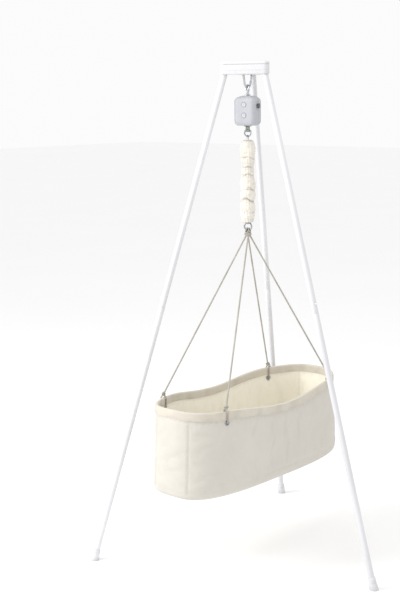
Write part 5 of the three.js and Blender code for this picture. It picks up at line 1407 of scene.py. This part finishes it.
def hem(count):
    """Folded tape over the wall's edge, soft and a little uneven, with a row of stitches each side."""
    o = oval(RIM, count)
    step = np.linalg.norm(np.roll(np.stack([o["x"], o["y"]], 1), -1, 0) - np.stack([o["x"], o["y"]], 1), axis=1)
    pos = np.concatenate([[0], np.cumsum(step)[:-1]])
    total = step.sum()
    ang = 2 * PI * pos / total
    across = fillet([(-6.4, -HEM_DEPTH), (-6.9, -16), (-6.8, -4.6), (-4.2, -0.2), (4.2, -0.2), (6.8, -4.6), (6.9, -16), (6.4, -HEM_DEPTH),
                     (4.5, -HEM_DEPTH), (4.5, -3.2), (-4.5, -3.2), (-4.5, -HEM_DEPTH)],
                    [0.7, 3, 4, 3.6, 3.6, 4, 3, 0.7, 0.4, 0.4, 0.4, 0.4], 4, True)
    across = split_rows(across, 3.2)
    d, h = across.T
    outer = np.abs(d) > 4.8
    A, H = np.meshgrid(ang, h, indexing="ij")
    wob = waves(81, 12, 5, 40)(A, H * 0.06) * 0.34 + np.sin(pos[:, None] * 2 * PI / 9.5 + H * 0.12) * 0.22 * np.exp(-((H + 25) / 5) ** 2)
    drop = waves(82, 8, 3, 16)(ang[:, None], 0) * 0.5
    pinch = -0.35 * np.exp(-((H + 25) / 1.3) ** 2)
    n = np.stack([o["nx"], o["ny"]], 1)
    grow = np.where(outer[None], wob + pinch, 0)
    # cloth bunches where the cord loops over the edge
    for c in CORNERS:
        dd = np.hypot(o["x"] - c["x"], o["y"] - c["y"])[:, None]
        grow = grow - np.where(outer[None], 0.9 * np.exp(-(dd / 5.5) ** 2), 0) + np.where(outer[None], 0.7 * np.exp(-((dd - 11) / 4.0) ** 2), 0)
    off = d[None] - SHELL_T / 2 + np.sign(d)[None] * grow
    # the row at the top moves a little up and down, the free lower edges too
    zz = rim_z(o["s"])[:, None] + h[None] + np.where(h[None] < -26, drop, drop * 0.3 - 0.15)
    zz = np.minimum(zz, rim_z(o["s"])[:, None] + 0.1)
    P = np.stack([o["x"][:, None] + n[:, :1] * off, o["y"][:, None] + n[:, 1:] * off, zz], -1)
    uv = np.stack(np.meshgrid(along(np.c_[across, np.zeros(len(across))], True), np.append(pos, total)), -1) * 0.001
    s = grid(Shape(), P, True, True, uv=uv)
    ob = obj_of(s, "rim_tape")
    # painted shade: where the tape is pinched in, a mask darkens its colour
    at = ob.data.attributes.new("fold_shade", "FLOAT", "POINT")
    at.data.foreach_set("value", np.clip(-grow * 1.2, 0, 1).ravel().astype(np.float32))
    finish_piece(ob, M["hem"], "cradle", "rim_hem", 60)
    s = Shape()
    fine = oval(RIM, 1760)
    f_step = np.linalg.norm(np.roll(np.stack([fine["x"], fine["y"]], 1), -1, 0) - np.stack([fine["x"], fine["y"]], 1), axis=1)
    f_pos = np.concatenate([[0], np.cumsum(f_step)[:-1]])
    n_st = int(total / 5.0)
    for side in (1, -1):
        for k in range(n_st):
            i0 = int(np.searchsorted(f_pos, total * (k + 0.12) / n_st)) % 1760
            i1 = int(np.searchsorted(f_pos, total * (k + 0.8) / n_st)) % 1760
            q = []
            for i in (i0, i1):
                lift = side * 6.75 - SHELL_T / 2
                q.append(np.array([fine["x"][i] + fine["nx"][i] * lift, fine["y"][i] + fine["ny"][i] * lift, float(rim_z(fine["s"][i])) - 25.0]))
            if min(np.hypot(q[0][0] - c["x"], q[0][1] - c["y"]) for c in CORNERS) < 7:
                continue
            stitch(s, q[0], q[1], np.array([fine["nx"][i0], fine["ny"][i0], 0]) * side, 0.4, 0.1)
    piece(s, "rim_stitching", M["thread"], "cradle")


# ------------------------------------------------------------------ mattress
def mattress():
    z0 = BASE_Z + SHELL_T + 7
    count = 240
    rows = []
    for f, ins, z in [(0, 60, 0.0), (0, 30, 0.0), (0, 24.5, 1.2), (0, 21, 4.6), (0, 19.6, 10), (0.03, 19.4, 20), (0.05, 19.8, 28), (0.06, 21.5, 33), (0.07, 25.5, 36), (0.08, 33, 37.2), (0.08, 60, 37.6)]:
        rows.append(ring_of(f, ins, z0 + z, count)[0])
    o = obj_of(grid(Shape(), rows, caps=(True, True)), "mattress_pad")
    r = o.modifiers.new("even", "REMESH")
    r.mode, r.voxel_size, r.adaptivity = "VOXEL", 0.0065, 0
    settle(o)
    n = len(o.data.vertices)
    co = np.empty(n * 3, np.float32)
    o.data.vertices.foreach_get("co", co)
    rest = co.reshape(-1, 3).astype(float)

    def line_gap(p):
        """Millimetres to the nearest quilting line; the lines cross in diamonds."""
        x, y = p[:, 0] * 1000 - AXIS[0], p[:, 1] * 1000 - AXIS[1]
        pitch = 96.0
        a, b = (x + y) / math.sqrt(2), (x - y) / math.sqrt(2)
        g = lambda v: np.abs(np.mod(v + pitch / 2, pitch) - pitch / 2)
        return np.minimum(g(a), g(b))

    top = (z0 + 30) * 0.001
    gap = line_gap(rest)
    onto = rest[:, 2] > top
    under = rest[:, 2] < (z0 + 3) * 0.001
    g = o.vertex_groups.new(name="pin")
    g.add(np.nonzero((onto & (gap < 3.6)) | under)[0].tolist(), 1.0, "REPLACE")
    got = run_cloth(o, 20, 4.0, 0.02, 0.5, 15.0)
    o.modifiers.clear()
    move = got - rest
    size = np.linalg.norm(move, axis=1, keepdims=True)
    cap = np.where(onto, 0.0062, 0.0030)[:, None]
    move *= cap * np.tanh(size / cap) / np.maximum(size, 1e-9)
    new = rest + move
    lo, hi = z0 * 0.001, (z0 + 42.5) * 0.001
    new[:, 2] = np.clip(new[:, 2], lo, hi)
    o.data.vertices.foreach_set("co", new.astype(np.float32).ravel())
    o.data.update()
    o.vertex_groups.clear()
    sub = o.modifiers.new("fine", "SUBSURF")
    sub.levels = sub.render_levels = 1
    settle(o)
    n = len(o.data.vertices)
    co = np.empty(n * 3, np.float32)
    o.data.vertices.foreach_get("co", co)
    new = co.reshape(-1, 3).astype(float)
    gap = line_gap(new)
    onto = new[:, 2] > top
    new[:, 2] -= np.where(onto, 0.0016 * np.exp(-(gap / 2.6) ** 2), 0)
    o.data.vertices.foreach_set("co", new.astype(np.float32).ravel())
    o.data.update()
    # painted shade: the pressed-in quilting lines get a mask that darkens the cover's colour
    at = o.data.attributes.new("fold_shade", "FLOAT", "POINT")
    at.data.foreach_set("value", np.where(onto, np.exp(-(gap / 3.4) ** 2) * 0.8, 0).astype(np.float32))
    finish_piece(o, M["quilt"], "cradle", "mattress", 0)
    # piping round both edges
    s = Shape()
    for z, ins, f in ((z0 + 38.0, 22.6, 0.07), (z0 + 4.2, 18.6, 0)):
        p = respace(ring_of(f, ins, z, 720)[0], 6.0, True)
        tube(s, p, 2.5, 12, True)
    piece(s, "mattress_piping", M["hem"], "cradle")


# ------------------------------------------------------------------ cords
def knot_path(scale, flat, turn=0.0):
    t = np.linspace(0, 2 * PI, 73)[:-1]
    p = np.stack([np.sin(t) + 2 * np.sin(2 * t), -np.sin(3 * t) * flat, np.cos(t) - 2 * np.cos(2 * t)], 1) * scale
    c, s = math.cos(turn), math.sin(turn)
    return np.stack([c * p[:, 0] - s * p[:, 1], s * p[:, 0] + c * p[:, 1], p[:, 2]], 1)


def cords():
    for c in CORNERS:
        tail = c["name"]
        mid = np.array([c["x"], c["y"], 0.0])
        up, dn = mid + Z * (RIM_CORNER_Z - 3), mid + Z * (RIM_CORNER_Z - 34)
        rr = 10.4
        loop = np.vstack([arc(up, c["n"], Z, rr, 0, 180, 24), arc(dn, c["n"], Z, rr, 180, 360, 24)])
        knot_at = mid + Z * (RIM_CORNER_Z + 13)
        top = np.array([6.6 * c["sx"], 5.4 * c["sy"], RING_Z - 36.6])
        s = rope(Shape(), loop, 3.1, 19, True, 1.9)
        lp = piece(s, f"cord_loop_{tail}", M["knot"], "cradle")
        line = unit(top - knot_at)
        s = Shape()
        az = math.atan2(c["n"][1], c["n"][0]) + PI / 2
        k = knot_path(2.25, 1.5, az)
        rope(s, k + knot_at + Z * 0.5, 2.9, 18, True, 1.7, 15)
        # the rope's own end stands out of the knot
        side = unit(np.cross(c["n"], Z))
        end = smooth_path([knot_at + side * 4, knot_at + side * 8 - Z * 2, knot_at + side * 10.5 - Z * 7, knot_at + side * 11 - Z * 13], per=6)
        rope(s, end, 2.7, 18, False, 1.7, 15, ends="eased")
        kn = piece(s, f"cord_knot_{tail}", M["knot"], "cradle")
        path = respace(np.array([knot_at + line * 2.0, top]), 2.3)
        s = tube(Shape(), path, CORD_R, 15, section=rope_section(23.0))
        o = piece(s, f"cord_rope_{tail}", M["rope"], "cradle", f"cord_{tail}")
        L = float(along(path)[-1]) * 0.001

        p = np.array([c["x"], c["y"], RIM_CORNER_Z - EYELET_DROP])
        prof = fillet([(5.4, -5.0), (6.4, -6.0), (9.2, -5.7), (10.0, -4.9), (9.7, -4.4), (6.6, -4.3), (6.6, 4.3), (9.7, 4.4), (10.0, 4.9), (9.2, 5.7), (6.4, 6.0), (5.4, 5.0)],
                      [0.6, 1.0, 0.8, 0.4, 0.2, 0, 0, 0.2, 0.4, 0.8, 1.0, 0.6], 3, True)
        piece(lathe(Shape(), prof, p, c["n"], 48, loop=True), f"eyelet_ring_{tail}", M["zinc"], "cradle", f"eyelet_{tail}")

    # crown: two loops over the ring, bound together into one knot from which the cords fan out
    s = Shape()
    for a in (-0.42, 0.42):
        w = np.array([math.sin(a), 0, -math.cos(a)])
        centre = np.array([0, 0, RING_Z]) + w * (RING_R + 0.3)
        rope(s, arc(centre, Y, w, 7, 0, 360, 40)[:-1], 2.9, 17, True, 1.5)
    t = np.linspace(0, 1, 120)
    turns = 4.0
    zz = RING_Z - 21.5 - 13.5 * t
    rad = 6.4 + 3.6 * np.sin(PI * np.clip(t * 0.96 + 0.02, 0, 1)) ** 0.8
    wind = np.stack([rad * 1.08 * np.cos(2 * PI * turns * t), rad * 0.92 * np.sin(2 * PI * turns * t), zz], 1)
    rope(s, wind, 2.7, 18, False, 1.7, 15, ends="eased")
    over = np.array([[-8.2, -3.5, RING_Z - 34], [-10.4, -5.6, RING_Z - 28], [-6.2, -8.6, RING_Z - 22.5], [1.5, -9.2, RING_Z - 22], [8.4, -6.4, RING_Z - 27], [7.6, -2.5, RING_Z - 33.6]])
    rope(s, smooth_path(over, per=8), 2.5, 18, False, 1.7, 15, ends="eased")
    lathe(s, fillet([(0, -19), (4.5, -19), (8.2, -24), (8.2, -32), (6.5, -37.4), (0, -37.4)], [0, 1, 3, 3, 1, 0], 4), [0, 0, RING_Z], Z, 32)
    piece(s, "crown_knot", M["knot"], "cradle", "cord_knot_top", MOTOR_AZ)


# ------------------------------------------------------------------ frame nodes that keep their own shape
def kept():
    for names, mat in (
        (("swivel_nut",), "zinc"), (("strap_guide", "strap_drum", "potentiometer"), "dark"),
        (("frame_bracket", "gear_motor"), "rolled"), (("circuit_board",), "circuit"),
        (("rim_hoop",), "hoop"), (("base_board",), "wood"),
    ):
        for n in names:
            o = NODES[n]
            o.data.materials.clear()
            o.data.materials.append(M[mat])
            for p in o.data.polygons:
                p.material_index = 0
            o.modifiers.new("join", "WELD").merge_threshold = 0.00001
            if n not in ("rim_hoop", "strap_drum"):
                b = o.modifiers.new("ease", "BEVEL")
                b.width, b.segments, b.limit_method, b.angle_limit = 0.0003, 2, "ANGLE", math.radians(40)


# ------------------------------------------------------------------ floor and light
def studio():
    m = Mat("floor_paper", spec=0.1)
    o = m.place()
    broad, grain = m.noise(o, 0.8, 3, 0.5), m.noise(o, 400, 2, 0.6)
    col = m.ramp(broad, [(0.3, (0.955, 0.955, 0.955, 1)), (0.7, (0.965, 0.965, 0.965, 1))])
    m.use(color=col, rough=m.span(grain, 0.3, 0.7, 0.85, 0.95), normal=m.bump(grain, 0.05, 0.0002))
    mesh = bpy.data.meshes.new("floor")
    mesh.from_pydata([(-30, -30, 0), (30, -30, 0), (30, 30, 0), (-30, 30, 0)], [], [(0, 1, 2, 3)])
    mesh.materials.append(m.m)
    floor = bpy.data.objects.new("floor", mesh)
    scene.collection.objects.link(floor)

    w = bpy.data.worlds.new("studio")
    scene.world = w
    w.use_nodes = True
    w.node_tree.nodes["Background"].inputs[0].default_value = (1, 1, 1, 1)
    w.node_tree.nodes["Background"].inputs[1].default_value = 0.97
    scene.view_settings.view_transform = "Standard"

    def area(name, azimuth, elevation, dist, size, power, target=(-0.02, 0.13, 0.85), colour=(1, 1, 1)):
        a, e = math.radians(azimuth), math.radians(elevation)
        d = Vector((math.cos(a) * math.cos(e), math.sin(a) * math.cos(e), math.sin(e)))
        L = bpy.data.lights.new(name, "AREA")
        L.shape, L.size, L.energy, L.color = "DISK", size, power, colour
        ob = bpy.data.objects.new(name, L)
        ob.location = Vector(target) + d * dist
        ob.rotation_euler = d.to_track_quat("Z", "Y").to_euler()
        scene.collection.objects.link(ob)

    area("key", 146, 24, 3.6, 1.6, 74)
    area("over", 200, 70, 3.2, 1.4, 15)


stand()
hardware()
motor()
hanging()
cradle()
mattress()
cords()
kept()
studio()

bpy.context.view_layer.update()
scene.frame_set(1)
